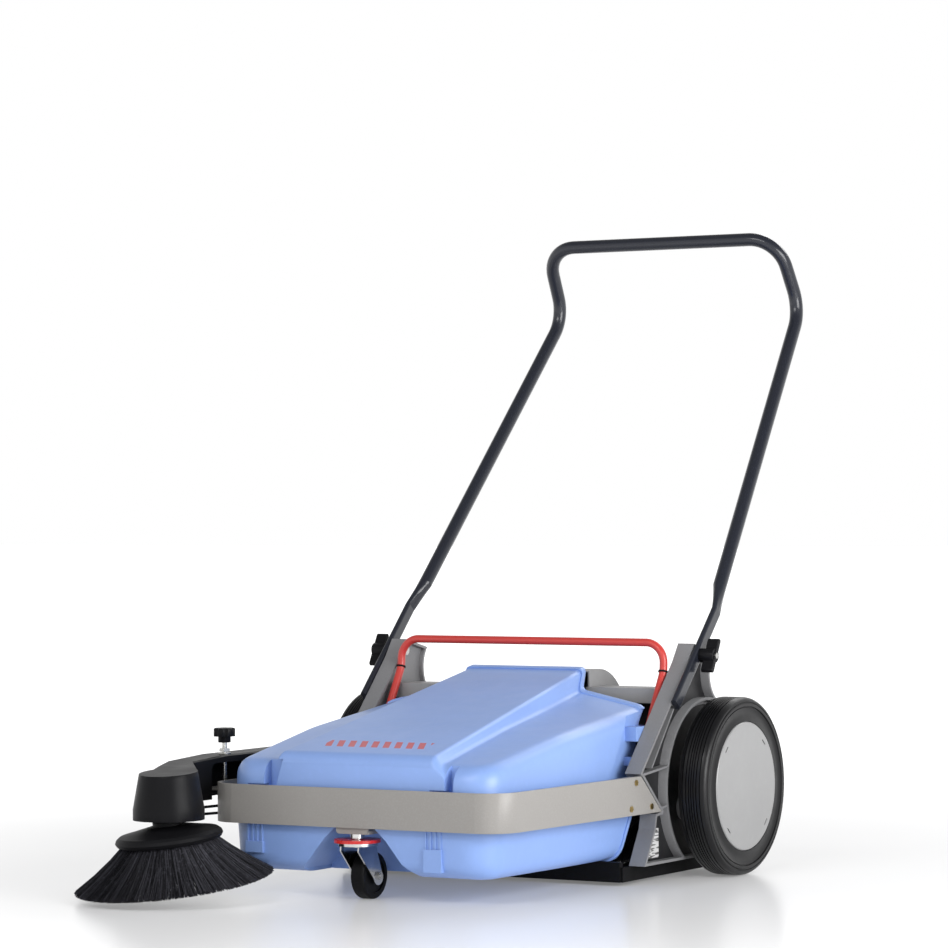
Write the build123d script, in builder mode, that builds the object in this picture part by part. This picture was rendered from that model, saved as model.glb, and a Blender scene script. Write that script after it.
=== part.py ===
"""Walk-behind sweeper: chassis, wheels, roller brush, side brush, hopper, caster and push handle.

Millimetres, +Z up. The origin is on the floor under the middle of the wheel axle. The front is
towards -Y and the operator stands at +Y, so +X is the operator's left.
"""

from build123d import *
from math import atan2, cos, degrees, pi, radians, sin, sqrt, tan
import os

os.makedirs("parts", exist_ok=True)

# ---- Driving dimensions -------------------------------------------------------------------------
# Road wheels
wheel_r = 150.0
axle_z = wheel_r
tyre_inner_x = 320.0
tyre_outer_x = 377.0
rim_r = 111.0
hub_disc_r = 108.0
hub_disc_x = 375.6
axle_r = 10.0
running_gap = 0.06

# Side frames, measured on the left one: the web stands inside a flange of full depth
frame_in_x = 272.0
frame_out_x = 302.0
web_in_x = 280.0
web_out_x = 286.0
flange_thickness = 4.5
drum_r = 148.0
frame_bottom_z = 31.0

# Bumper band, slightly wider at its rear ends than at its front corners
band_half_front = 280.0
band_half_rear = 299.0
band_front_y = -649.0
band_rear_y = -232.0
band_bottom_z = 117.0
band_top_z = 180.0
band_thickness = 4.0
band_corner_r = 52.0

# Drive: the left wheel's ring gear turns the roller's pinion
gear_module = 2.5
ring_teeth = 76
pinion_teeth = 20
pressure_angle = radians(20)
gear_backlash = 0.3
ring_pitch_r = gear_module * ring_teeth / 2
pinion_pitch_r = gear_module * pinion_teeth / 2
drive_angle = 208.0
roller_offset = ring_pitch_r - pinion_pitch_r
roller_y = roller_offset * cos(radians(drive_angle))
roller_z = axle_z + roller_offset * sin(radians(drive_angle))
gear_in_x = 322.0
gear_out_x = 334.0

# Roller brush
roller_r = roller_z - 2.0
roller_half = 258.0
roller_core_r = 38.0
roller_shaft_r = 8.0

# Side brush: its plane rises towards the middle and the rear of the machine
brush_plate_r = 87.0
brush_tip_r = 163.0
brush_x, brush_y, brush_z = -268.0, -770.0, 105.0
brush_rise_x, brush_rise_y = 0.062, 0.100
brush_tip_drop = 84.5
brush_plane = Plane(
    origin=(brush_x, brush_y, brush_z),
    x_dir=(1, 0, brush_rise_x),
    z_dir=(-brush_rise_x, -brush_rise_y, 1),
)

# Side brush arm
arm_wall = 3.0
arm_top_z = 219.0
arm_bottom_z = 148.0
arm_inner_x = -302.7
arm_outer_x = -352.0
arm_rear_y = -172.0
bell_r = 57.5
bell_top_r = 45.0
bell_bottom_z = 130.0
arm_plate_in_x = -305.9
arm_plate_thickness = 2.9
rod_x, rod_y = -318.0, -542.0
rod_r = 4.0

# Round drive belt of the side brush
belt_r = 2.3
belt_gap = 0.35
roller_pulley_r = 10.0
brush_pulley_r = 20.0
idler_r = 10.0
idler_x, idler_y = -299.0, -712.0
idler_low_z, idler_high_z = 128.5, 138.0
idler_width = 9.0
roller_pulley_x = -313.8
brush_pulley_height = 27.0

# Push handle
tube_r = 12.0
tube_wall = 2.0
handle_top_y, handle_top_z = 408.0, 1103.0
handle_top_half = 240.0
handle_knee_y, handle_knee_z = 479.0, 976.0
handle_knee_half = 248.0
bolt_y, bolt_z = -42.0, 371.0
tail_x = 308.5
tail_thickness = 10.0
tail_width = 24.0
tail_end_y, tail_end_z = -126.0, 292.0
tail_start_y, tail_start_z = 24.0, 444.0
bolt_r = 5.0

# Hopper
hopper_half = 262.0
hopper_front_y = -636.0
hopper_bottom_z = 43.0
hopper_wall = 4.0
rim_width, rim_height = 9.0, 3.5
lug_y, lug_z = -138.0, 246.0
lug_out_x, lug_slot_out_x, lug_slot_in_x, lug_in_x = 271.5, 268.8, 254.2, 246.0
pin_r = 4.0
bail_r = 6.8
bail_leg_x = 261.5
bail_knee_y, bail_knee_z = -80.0, 344.0
bail_top_y, bail_top_z = -77.0, 393.0

# Caster
caster_y = -629.0
caster_trail = 34.0
caster_wheel_r = 37.5
caster_ring_z = 95.0

# ---- Shared profiles ----------------------------------------------------------------------------
with BuildSketch() as frame_outline:
    with BuildLine():
        Polyline((24, 374), (-46, 391), (-69, 360), (-237, 184), (-229, 179), (-164, 117))
        Polyline((-164, 117), (-185, 114), (-191, 89), (-226, frame_bottom_z), (88, frame_bottom_z))
        ThreePointArc((88, frame_bottom_z), (drum_r, axle_z), (62, 284.4))
        ThreePointArc((62, 284.4), (14, 322), (24, 374))
    make_face()

with BuildSketch() as frame_flange:
    add(frame_outline.sketch)
    offset(frame_outline.sketch, amount=-flange_thickness, mode=Mode.SUBTRACT)


def involute_tooth(teeth, half_angle, tip_r, low_r):
    """Outline of one tooth along +X, between the radii low_r and tip_r, with involute flanks."""
    pitch_r = gear_module * teeth / 2
    base_r = pitch_r * cos(pressure_angle)
    involute = lambda r: tan(acos_of(base_r / r)) - acos_of(base_r / r)
    radii = [max(low_r, base_r) + (tip_r - max(low_r, base_r)) * step / 4 for step in range(5)]
    flank = []
    for r in radii:
        angle = half_angle + involute(pitch_r) - involute(r)
        flank.append((r * cos(angle), r * sin(angle)))
    if low_r < base_r:
        foot = half_angle + involute(pitch_r)
        flank.insert(0, (low_r * cos(foot), low_r * sin(foot)))
    return flank + [(x, -y) for x, y in reversed(flank)]


def acos_of(value):
    return atan2(sqrt(max(0.0, 1 - value * value)), value)


def band_half(y):
    """Outer half-width of the bumper band at y."""
    share = (y - band_front_y) / (band_rear_y - band_front_y)
    return band_half_front + share * (band_half_rear - band_half_front)


# ---- Chassis: bumper band -----------------------------------------------------------------------
band_cut_y = -150.0
screw_spots = [(-246, 170), (-262, 128), (-198, 128)]
with BuildPart() as bumper_band:
    with BuildSketch(Plane.XY.offset(band_bottom_z)):
        with BuildLine():
            FilletPolyline(
                (-band_half(band_cut_y), band_cut_y),
                (-band_half_front, band_front_y),
                (band_half_front, band_front_y),
                (band_half(band_cut_y), band_cut_y),
                radius=band_corner_r,
            )
            offset(amount=band_thickness, side=Side.LEFT)
        make_face()
    extrude(amount=band_top_z - band_bottom_z)
    with BuildSketch(Plane.YZ):
        with BuildLine():
            Polyline((-242, 191), (-156, 108), (-100, 108), (-100, 191), close=True)
        make_face()
    extrude(amount=400, both=True, mode=Mode.SUBTRACT)
    with BuildSketch(Plane.YZ):
        with Locations(*screw_spots):
            Circle(2.6)
    extrude(amount=400, both=True, mode=Mode.SUBTRACT)
bumper_band.part.label = "bumper_band"
export_step(bumper_band.part, "parts/bumper_band.step")

# ---- Chassis: side frames -----------------------------------------------------------------------
with BuildPart() as side_frame_left:
    # Pad behind the band, as flared as the band and cut along the band's slanted end
    pad_front_y, pad_rear_y = -282.0, -160.0
    with BuildSketch(Plane.XY.offset(band_bottom_z + 1)):
        with BuildLine():
            Polyline(
                (web_in_x, pad_front_y),
                (band_half(pad_front_y) - band_thickness - 0.3, pad_front_y),
                (band_half(pad_rear_y) - band_thickness - 0.3, pad_rear_y),
                (web_in_x, pad_rear_y),
                close=True,
            )
        make_face()
    extrude(amount=band_top_z - band_bottom_z - 2)
    with BuildSketch(Plane.YZ.offset(web_in_x)):
        with BuildLine():
            Polyline((-246, 191), (-160, 108), (-100, 108), (-100, 191), close=True)
        make_face()
    extrude(amount=40, mode=Mode.SUBTRACT)
    with BuildSketch(Plane.YZ.offset(web_in_x)):
        add(frame_outline.sketch)
    extrude(amount=web_out_x - web_in_x)
    with BuildSketch(Plane.YZ.offset(frame_in_x)):
        add(frame_flange.sketch)
    extrude(amount=frame_out_x - frame_in_x)
    # Wheel drum, its step and the ribs of the web
    with BuildSketch(Plane.YZ.offset(web_out_x)):
        with Locations((0, axle_z)):
            Circle(drum_r)
            Circle(drum_r - 5, mode=Mode.SUBTRACT)
        add(frame_outline.sketch, mode=Mode.INTERSECT)
    extrude(amount=frame_out_x - web_out_x)
    with BuildSketch(Plane.YZ.offset(web_out_x)):
        with Locations((0, axle_z)):
            Circle(drum_r - 5)
            Circle(drum_r - 12, mode=Mode.SUBTRACT)
        add(frame_outline.sketch, mode=Mode.INTERSECT)
    extrude(amount=6)
    with BuildSketch(Plane.YZ.offset(web_out_x)):
        with BuildLine():
            Polyline((-229, 184), (-140, 192), (-140, 188.5), (-229, 180), close=True)
        make_face()
        with BuildLine():
            Polyline((-170, 124), (-143, 127.5), (-143, 124), (-168, 120), close=True)
        make_face()
        with BuildLine():
            Polyline((-118, 284), (-196, 191), (-199.5, 191), (-121, 285.5), close=True)
        make_face()
    extrude(amount=frame_out_x - web_out_x)
    # Bosses for the axle, the roller shaft, the handle bolt and the handle's tail
    with BuildSketch(Plane.YZ.offset(web_out_x)):
        with Locations((0, axle_z)):
            Circle(28)
        with Locations((roller_y, roller_z)):
            Circle(22)
        with Locations((bolt_y, bolt_z)):
            Circle(13)
    extrude(amount=frame_out_x - web_out_x)
    with BuildSketch(Plane.YZ.offset(web_out_x)):
        with Locations((-108, 301)):
            SlotOverall(26, 14, rotation=45)
    extrude(amount=frame_out_x - web_out_x)
    with BuildSketch(Plane.YZ.offset(frame_in_x)):
        with Locations((0, axle_z)):
            Circle(axle_r)
        with Locations((roller_y, roller_z)):
            Circle(14)
        with Locations((bolt_y, bolt_z)):
            Circle(bolt_r)
    extrude(amount=40, mode=Mode.SUBTRACT)
    with BuildSketch(Plane.YZ.offset(web_in_x)):
        with Locations(*screw_spots):
            Circle(2.2)
    extrude(amount=40, mode=Mode.SUBTRACT)
side_frame_left.part.label = "side_frame_left"
export_step(side_frame_left.part, "parts/side_frame_left.step")

# The right frame mirrors the left one
with BuildPart() as side_frame_right:
    add(mirror(side_frame_left.part, about=Plane.YZ))
side_frame_right.part.label = "side_frame_right"
export_step(side_frame_right.part, "parts/side_frame_right.step")

# ---- Chassis: screws and rating plate -----------------------------------------------------------
with BuildPart() as band_screws:
    for y, z in screw_spots:
        outside_x = band_half(y)
        for side in (-1, 1):
            with BuildSketch(Plane.YZ.offset(side * (web_in_x + 1))):
                with Locations((y, z)):
                    Circle(2.2)
            extrude(amount=side * (outside_x - web_in_x - 0.5))
            with BuildSketch(Plane.YZ.offset(side * (outside_x + 0.25))):
                with Locations((y, z)):
                    Circle(5)
            extrude(amount=side * 1.4)
band_screws.part.label = "band_screws"
export_step(band_screws.part, "parts/band_screws.step")

with BuildPart() as rating_plate:
    with BuildSketch(Plane.YZ.offset(web_out_x)):
        with BuildLine():
            Polyline((-183, 88), (-150, 88), (-150, 40), (-213, 40), close=True)
        make_face()
    extrude(amount=1.2)
    with BuildSketch(Plane.YZ.offset(web_out_x + 1.2)):
        with Locations((-179, 83), (-154, 83), (-154, 45), (-205, 45)):
            Circle(2)
    extrude(amount=0.8)
rating_plate.part.label = "rating_plate"
export_step(rating_plate.part, "parts/rating_plate.step")

# ---- Chassis: roller hood, sill, lips and cross tube --------------------------------------------
hood_half = frame_in_x - 0.4
hood_top_z = 313.0
hood_thickness = 3.0
hump_half = 118.0
with BuildPart() as roller_hood:
    with BuildSketch(Plane.YZ):
        with BuildLine():
            Polyline((-84, hood_top_z - 22), (-84, hood_top_z), (-30, hood_top_z))
            ThreePointArc((-30, hood_top_z), (62, 268), (104, 175))
            Line((104, 175), (108, 60))
            offset(amount=hood_thickness, side=Side.LEFT)
        make_face()
    extrude(amount=hood_half, both=True)
    with BuildSketch(Plane.YZ):
        with BuildLine():
            Polyline((-80, 305), (-80, 353), (-52, 355))
            ThreePointArc((-52, 355), (6, 338), (46, 285))
            Line((46, 285), (-80, 285))
            Line((-80, 285), (-80, 305))
        make_face()
    extrude(amount=hump_half, both=True)
    with BuildSketch(Plane.YZ):
        with BuildLine():
            Polyline((-100, 250), (-100, 350), (-52, 352))
            ThreePointArc((-52, 352), (4, 335.5), (43, 285))
            Polyline((43, 285), (20, 250), (-100, 250))
        make_face()
    extrude(amount=hump_half - hood_thickness, both=True, mode=Mode.SUBTRACT)
    # Downturned side flanges that bolt to the side frames
    for side in (-1, 1):
        with BuildSketch(Plane.YZ.offset(side * hood_half)):
            with BuildLine():
                Polyline((-84, hood_top_z - 22), (-84, hood_top_z), (-30, hood_top_z))
                ThreePointArc((-30, hood_top_z), (62, 268), (104, 175))
                Polyline((104, 175), (84, 175), (40, 262), (-30, hood_top_z - 22))
                Line((-30, hood_top_z - 22), (-84, hood_top_z - 22))
            make_face()
        extrude(amount=-side * hood_thickness)
roller_hood.part.label = "roller_hood"
export_step(roller_hood.part, "parts/roller_hood.step")

sill_half = 271.0
sill_front_y, sill_rear_y = -252.0, 112.0
sill_low_z, sill_high_z = 14.0, 30.0
with BuildPart() as chamber_sill:
    with BuildSketch(Plane.XY.offset(sill_low_z)):
        with BuildLine():
            Polyline(
                (-sill_half, sill_front_y),
                (sill_half, sill_front_y),
                (sill_half, sill_rear_y),
                (-sill_half, sill_rear_y),
                close=True,
            )
        make_face()
        with Locations((0, roller_y)):
            Rectangle(2 * (roller_half + 3), 2 * (roller_r + 5), mode=Mode.SUBTRACT)
    extrude(amount=sill_high_z - sill_low_z)
    with BuildSketch(Plane.XY.offset(sill_high_z)):
        with Locations((0, sill_front_y + 4)):
            Rectangle(2 * sill_half, 8)
    extrude(amount=9)
chamber_sill.part.label = "chamber_sill"
export_step(chamber_sill.part, "parts/chamber_sill.step")

lip_low_z = 6.0
lip_thickness = 4.0
with BuildPart() as front_lip:
    with BuildSketch(Plane.XY.offset(lip_low_z)):
        with Locations((0, sill_front_y - lip_thickness / 2)):
            Rectangle(2 * sill_half, lip_thickness)
    extrude(amount=33)
front_lip.part.label = "front_lip"
export_step(front_lip.part, "parts/front_lip.step")

with BuildPart() as rear_lip:
    with BuildSketch(Plane.XY.offset(lip_low_z)):
        with Locations((0, sill_rear_y + lip_thickness / 2)):
            Rectangle(2 * sill_half, lip_thickness)
    extrude(amount=40)
rear_lip.part.label = "rear_lip"
export_step(rear_lip.part, "parts/rear_lip.step")

with BuildPart() as side_lips:
    for side in (-1, 1):
        with BuildSketch(Plane.XY.offset(lip_low_z)):
            with Locations((side * (sill_half + lip_thickness / 2), (sill_front_y + sill_rear_y) / 2)):
                Rectangle(lip_thickness, sill_rear_y - sill_front_y)
        extrude(amount=frame_bottom_z - 0.5 - lip_low_z)
side_lips.part.label = "side_lips"
export_step(side_lips.part, "parts/side_lips.step")

with BuildPart() as cross_tube:
    with BuildSketch(Plane.YZ):
        with Locations((124, 150)):
            Circle(11)
            Circle(8.5, mode=Mode.SUBTRACT)
    extrude(amount=web_in_x - 0.2, both=True)
cross_tube.part.label = "cross_tube"
export_step(cross_tube.part, "parts/cross_tube.step")

# ---- Chassis: stub axles, clips, bushes and bolts -----------------------------------------------
axle_end_x = 364.0
clip_x = 358.0
with BuildPart() as stub_axles:
    for side in (-1, 1):
        with BuildSketch(Plane.YZ.offset(side * (web_in_x - 4))):
            with Locations((0, axle_z)):
                Circle(18)
        extrude(amount=side * 4)
        with BuildSketch(Plane.YZ.offset(side * (web_in_x - 4))):
            with Locations((0, axle_z)):
                Circle(axle_r)
        extrude(amount=side * (axle_end_x - web_in_x + 4))
        with BuildSketch(Plane.YZ.offset(side * clip_x)):
            with Locations((0, axle_z)):
                Circle(axle_r + 2)
                Circle(axle_r - 1.5, mode=Mode.SUBTRACT)
        extrude(amount=side * 2, mode=Mode.SUBTRACT)
stub_axles.part.label = "stub_axles"
export_step(stub_axles.part, "parts/stub_axles.step")

with BuildPart() as axle_clips:
    for side in (-1, 1):
        with BuildSketch(Plane.YZ.offset(side * (clip_x + 0.1))):
            with Locations((0, axle_z)):
                Circle(axle_r + 4)
                Circle(axle_r - 1.4, mode=Mode.SUBTRACT)
            with Locations((0, axle_z + axle_r)):
                Rectangle(8, 12, mode=Mode.SUBTRACT)
        extrude(amount=side * 1.8)
axle_clips.part.label = "axle_clips"
export_step(axle_clips.part, "parts/axle_clips.step")

with BuildPart() as roller_bushes:
    for side in (-1, 1):
        with BuildSketch(Plane.YZ.offset(side * (web_in_x - 3))):
            with Locations((roller_y, roller_z)):
                Circle(14)
                Circle(roller_shaft_r + running_gap, mode=Mode.SUBTRACT)
        extrude(amount=side * (frame_out_x - web_in_x + 3))
roller_bushes.part.label = "roller_bushes"
export_step(roller_bushes.part, "parts/roller_bushes.step")

bolt_head_x = 273.5
bolt_head_r = 8.5
bolt_end_x = 344.0
with BuildPart() as handle_bolts:
    for side in (-1, 1):
        with BuildSketch(Plane.YZ.offset(side * bolt_head_x)):
            with Locations((bolt_y, bolt_z)):
                Circle(bolt_head_r)
        extrude(amount=side * (web_in_x - bolt_head_x))
        with BuildSketch(Plane.YZ.offset(side * bolt_head_x)):
            with Locations((bolt_y, bolt_z)):
                Circle(bolt_r)
        extrude(amount=side * (bolt_end_x - bolt_head_x))
handle_bolts.part.label = "handle_bolts"
export_step(handle_bolts.part, "parts/handle_bolts.step")

# ---- Chassis: caster bracket and the adjuster bracket -------------------------------------------
bracket_z = 107.0
with BuildPart() as caster_bracket:
    with BuildSketch(Plane.XY.offset(bracket_z)):
        with Locations((0, caster_y + 6)):
            RectangleRounded(60, 44, 8)
    extrude(amount=6)
    with BuildSketch(Plane.XZ.offset(-(band_front_y + band_thickness))):
        with Locations((0, 132)):
            RectangleRounded(60, 50, 6)
    extrude(amount=-4)
    with BuildSketch(Plane.XY.offset(bracket_z)):
        with Locations((0, caster_y)):
            Circle(6.06)
    extrude(amount=6, mode=Mode.SUBTRACT)
caster_bracket.part.label = "caster_bracket"
export_step(caster_bracket.part, "parts/caster_bracket.step")

rod_slot_length, rod_slot_width = 19.0, 9.6
with BuildPart() as rod_bracket:
    with BuildSketch(Plane.XY.offset(160)):
        with BuildLine():
            Polyline((-285, -568), (-332, -560), (-332, -524), (-287, -520), close=True)
        make_face()
        with Locations((rod_x, rod_y + 2.5)):
            SlotOverall(rod_slot_length, rod_slot_width, rotation=90, mode=Mode.SUBTRACT)
    extrude(amount=6)
    with BuildSketch(Plane.XY.offset(122)):
        with BuildLine():
            Polyline((-284.2, -568), (-290, -568), (-292, -520), (-286.3, -520), close=True)
        make_face()
    extrude(amount=38)
rod_bracket.part.label = "rod_bracket"
export_step(rod_bracket.part, "parts/rod_bracket.step")

# ---- Wheels -------------------------------------------------------------------------------------
for side, hand in ((1, "left"), (-1, "right")):
    hub_plane = Plane(origin=(0, 0, axle_z), x_dir=(0, 0, 1), z_dir=(0, side, 0))
    hub_axis = Axis((0, 0, axle_z), (1, 0, 0))

    # Across the wheel: the sketch's x runs up the radius and its y runs along the axle
    with BuildPart() as tyre:
        with BuildSketch(Plane(origin=(0, 0, axle_z), x_dir=(0, 0, 1), z_dir=(0, 1, 0))):
            with BuildLine():
                Polyline(
                    (rim_r, side * (tyre_inner_x + 4)),
                    (131, side * tyre_inner_x),
                    (142, side * tyre_inner_x),
                    (148, side * (tyre_inner_x + 6)),
                    (150, side * (tyre_inner_x + 13)),
                    (150, side * (tyre_outer_x - 13)),
                    (148, side * (tyre_outer_x - 5)),
                    (142, side * tyre_outer_x),
                    (131, side * tyre_outer_x),
                    (rim_r, side * (tyre_outer_x - 4)),
                    close=True,
                )
            make_face()
            for groove in range(4):
                with Locations((150, side * (tyre_inner_x + 16 + 8.4 * groove))):
                    Rectangle(5, 2.6, mode=Mode.SUBTRACT)
        revolve(axis=hub_axis)
    tyre.part.label = f"tyre_{hand}"
    export_step(tyre.part, f"parts/tyre_{hand}.step")

    with BuildPart() as rim:
        with BuildSketch(Plane.YZ.offset(side * (tyre_inner_x + 4))):
            with Locations((0, axle_z)):
                Circle(rim_r)
                Circle(rim_r - 5, mode=Mode.SUBTRACT)
        extrude(amount=side * (tyre_outer_x - tyre_inner_x - 9))
        with BuildSketch(Plane.YZ.offset(side * 345)):
            with Locations((0, axle_z)):
                Circle(rim_r - 4)
                with PolarLocations(66, 6):
                    Circle(15, mode=Mode.SUBTRACT)
        extrude(amount=side * 5)
        with BuildSketch(Plane.YZ.offset(side * 306)):
            with Locations((0, axle_z)):
                Circle(20)
        extrude(amount=side * 46)
        with BuildSketch(Plane.YZ.offset(side * 306)):
            with Locations((0, axle_z)):
                Circle(14)
        extrude(amount=side * 46, mode=Mode.SUBTRACT)
    rim.part.label = f"rim_{hand}"
    export_step(rim.part, f"parts/rim_{hand}.step")

    with BuildPart() as hub_bush:
        with BuildSketch(Plane.YZ.offset(side * 305)):
            with Locations((0, axle_z)):
                Circle(14)
                Circle(axle_r + running_gap, mode=Mode.SUBTRACT)
        extrude(amount=side * 48)
    hub_bush.part.label = f"hub_bush_{hand}"
    export_step(hub_bush.part, f"parts/hub_bush_{hand}.step")

    with BuildPart() as hub_disc:
        with BuildSketch(Plane.YZ.offset(side * (hub_disc_x - 3.4))):
            with Locations((0, axle_z)):
                Circle(hub_disc_r)
        extrude(amount=side * 3.4)
        outer_rim = hub_disc.edges().filter_by(GeomType.CIRCLE).group_by(Axis.X)
        chamfer(outer_rim[-1 if side > 0 else 0], 1.4)
        with BuildSketch(Plane.YZ.offset(side * (hub_disc_x - 3.4))):
            with Locations((0, axle_z)):
                Circle(60)
                Circle(56, mode=Mode.SUBTRACT)
        extrude(amount=-side * (hub_disc_x - 3.4 - 350.2))
        with BuildSketch(Plane.YZ.offset(side * (hub_disc_x - 4))):
            with Locations((0, axle_z)):
                with PolarLocations(96, 4, start_angle=47):
                    Rectangle(2.4, 13, mode=Mode.ADD)
        extrude(amount=side * 5, mode=Mode.SUBTRACT)
    hub_disc.part.label = f"hub_disc_{hand}"
    export_step(hub_disc.part, f"parts/hub_disc_{hand}.step")

# ---- Drive gears --------------------------------------------------------------------------------
tooth_half_angle = (pi * gear_module / 2 - gear_backlash) / 2
with BuildPart() as ring_gear:
    with BuildSketch(Plane.YZ.offset(gear_in_x)):
        with Locations((0, axle_z)):
            Circle(rim_r - 5)
            Circle(ring_pitch_r - 0.8 * gear_module, mode=Mode.SUBTRACT)
        gap_half = (pi * gear_module / 2 + gear_backlash) / 2 / ring_pitch_r
        gap = involute_tooth(ring_teeth, gap_half, ring_pitch_r + 1.1 * gear_module, 90.0)
        with BuildSketch(mode=Mode.PRIVATE) as tooth_gap:
            with BuildLine():
                Polyline(*gap, close=True)
            make_face()
        for tooth in range(ring_teeth):
            turn = drive_angle + tooth * 360 / ring_teeth
            add(Pos(0, axle_z) * Rot(0, 0, turn) * tooth_gap.sketch, mode=Mode.SUBTRACT)
    extrude(amount=gear_out_x - gear_in_x)
ring_gear.part.label = "ring_gear"
export_step(ring_gear.part, "parts/ring_gear.step")

with BuildPart() as roller_pinion:
    with BuildSketch(Plane.YZ.offset(gear_in_x)):
        with Locations((roller_y, roller_z)):
            Circle(pinion_pitch_r - 1.15 * gear_module)
        tooth_half = (pi * gear_module / 2 - gear_backlash) / 2 / pinion_pitch_r
        tip_r = pinion_pitch_r + 0.8 * gear_module
        outline = involute_tooth(pinion_teeth, tooth_half, tip_r, pinion_pitch_r - 1.3 * gear_module)
        with BuildSketch(mode=Mode.PRIVATE) as pinion_tooth:
            with BuildLine():
                Polyline(*outline, close=True)
            make_face()
        for tooth in range(pinion_teeth):
            turn = drive_angle + tooth * 360 / pinion_teeth
            add(Pos(roller_y, roller_z) * Rot(0, 0, turn) * pinion_tooth.sketch)
        with Locations((roller_y, roller_z)):
            Circle(roller_shaft_r, mode=Mode.SUBTRACT)
    extrude(amount=gear_out_x - gear_in_x)
roller_pinion.part.label = "roller_pinion"
export_step(roller_pinion.part, "parts/roller_pinion.step")

# ---- Roller brush -------------------------------------------------------------------------------
shaft_right_x, shaft_step_x, shaft_left_x = -319.0, -305.0, 337.0
shaft_end_r = 6.0
with BuildPart() as roller_shaft:
    with BuildSketch(Plane.YZ.offset(shaft_right_x)):
        with Locations((roller_y, roller_z)):
            Circle(shaft_end_r)
    extrude(amount=shaft_left_x - shaft_right_x)
    with BuildSketch(Plane.YZ.offset(shaft_step_x)):
        with Locations((roller_y, roller_z)):
            Circle(roller_shaft_r)
    extrude(amount=shaft_left_x - shaft_step_x)
roller_shaft.part.label = "roller_shaft"
export_step(roller_shaft.part, "parts/roller_shaft.step")

with BuildPart() as roller_core:
    with BuildSketch(Plane.YZ):
        with Locations((roller_y, roller_z)):
            Circle(roller_core_r)
            Circle(roller_core_r - 4, mode=Mode.SUBTRACT)
    extrude(amount=roller_half + 2, both=True)
    for side in (-1, 1):
        with BuildSketch(Plane.YZ.offset(side * (roller_half - 8))):
            with Locations((roller_y, roller_z)):
                Circle(roller_core_r - 3)
                Circle(roller_shaft_r, mode=Mode.SUBTRACT)
        extrude(amount=side * 10)
roller_core.part.label = "roller_core"
export_step(roller_core.part, "parts/roller_core.step")

with BuildPart() as roller_bristles:
    with BuildSketch(Plane.YZ):
        with Locations((roller_y, roller_z)):
            Circle(roller_r)
            Circle(roller_core_r, mode=Mode.SUBTRACT)
    extrude(amount=roller_half, both=True)
roller_bristles.part.label = "roller_bristles"
export_step(roller_bristles.part, "parts/roller_bristles.step")

belt_centre = Plane(origin=(roller_pulley_x, roller_y, roller_z), x_dir=(0, 1, 0), z_dir=(1, 0, 0))
with BuildPart() as roller_pulley:
    with BuildSketch(belt_centre.offset(-4.4)):
        Circle(roller_pulley_r + 4)
    extrude(amount=8.8)
    with BuildSketch(belt_centre.offset(-3)):
        Circle(roller_pulley_r + 6)
        Circle(roller_pulley_r - belt_r - belt_gap, mode=Mode.SUBTRACT)
    extrude(amount=6, mode=Mode.SUBTRACT)
    with BuildSketch(belt_centre.offset(-6)):
        Circle(shaft_end_r)
    extrude(amount=12, mode=Mode.SUBTRACT)
roller_pulley.part.label = "roller_pulley"
export_step(roller_pulley.part, "parts/roller_pulley.step")

# ---- Side brush arm -----------------------------------------------------------------------------


def arm_form(inset, depth):
    """The arm's moulded body, less inset all round: a cone bell over the brush and a long beam."""
    with BuildPart() as form:
        with BuildSketch(Plane.XZ.offset(-brush_y)):
            with BuildLine():
                Polyline(
                    (brush_x, bell_bottom_z - depth),
                    (brush_x + bell_r - inset, bell_bottom_z - depth),
                    (brush_x + bell_r - inset, bell_bottom_z + 17),
                    (brush_x + bell_top_r - inset, arm_top_z),
                    (brush_x, arm_top_z),
                    close=True,
                )
            make_face()
        revolve(axis=Axis((brush_x, brush_y, 0), (0, 0, 1)))
        with BuildSketch(Plane.XY.offset(arm_bottom_z - depth)):
            with BuildLine():
                Polyline(
                    (arm_inner_x - inset, arm_rear_y - inset),
                    (arm_inner_x - inset, -655),
                    (brush_x + 38 - inset, brush_y + 26),
                    (brush_x, brush_y),
                    (brush_x - 44 + inset, brush_y + 20),
                    (arm_outer_x + inset, -650),
                    (arm_outer_x + inset, arm_rear_y - inset),
                    close=True,
                )
            make_face()
        extrude(amount=arm_top_z - arm_bottom_z + depth)
        # The top falls towards the front
        with BuildSketch(Plane.YZ.offset(-420)):
            with BuildLine():
                Polyline(
                    (-850, 199 - inset),
                    (-719, 210 - inset),
                    (-560, arm_top_z - inset),
                    (-150, arm_top_z - inset),
                    (-150, 260),
                    (-850, 260),
                    close=True,
                )
            make_face()
        extrude(amount=300, mode=Mode.SUBTRACT)
    return form.part


arm_outside = arm_form(0, 0)
arm_inside = arm_form(arm_wall, 1)
with BuildPart() as brush_arm_cover:
    add(arm_outside)
    chamfer(brush_arm_cover.faces().filter_by_position(Axis.Z, 190, 225).sort_by(Axis.Z)[-1].edges(), 2.5)
    add(arm_inside, mode=Mode.SUBTRACT)
    # Slot for the arm plate, window for the rod bracket, notch for the belt and the rod's hole
    with BuildSketch(Plane.XY.offset(arm_bottom_z - 1)):
        with Locations((arm_plate_in_x - 2, arm_rear_y)):
            Rectangle(12, 24)
    extrude(amount=67, mode=Mode.SUBTRACT)
    with BuildSketch(Plane.YZ.offset(arm_inner_x - 20)):
        with Locations((-552, 172)):
            RectangleRounded(96, 70, 12)
    extrude(amount=30, mode=Mode.SUBTRACT)
    with BuildSketch(Plane.XY.offset(bell_bottom_z)):
        with BuildLine():
            Polyline((brush_x, brush_y), (-345, -700), (-300, -680), (-225, -725), close=True)
        make_face()
    extrude(amount=17.5, mode=Mode.SUBTRACT)
    with BuildSketch(Plane.XY.offset(arm_top_z - 8)):
        with Locations((rod_x, rod_y)):
            Circle(5.5)
    extrude(amount=16, mode=Mode.SUBTRACT)
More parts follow.
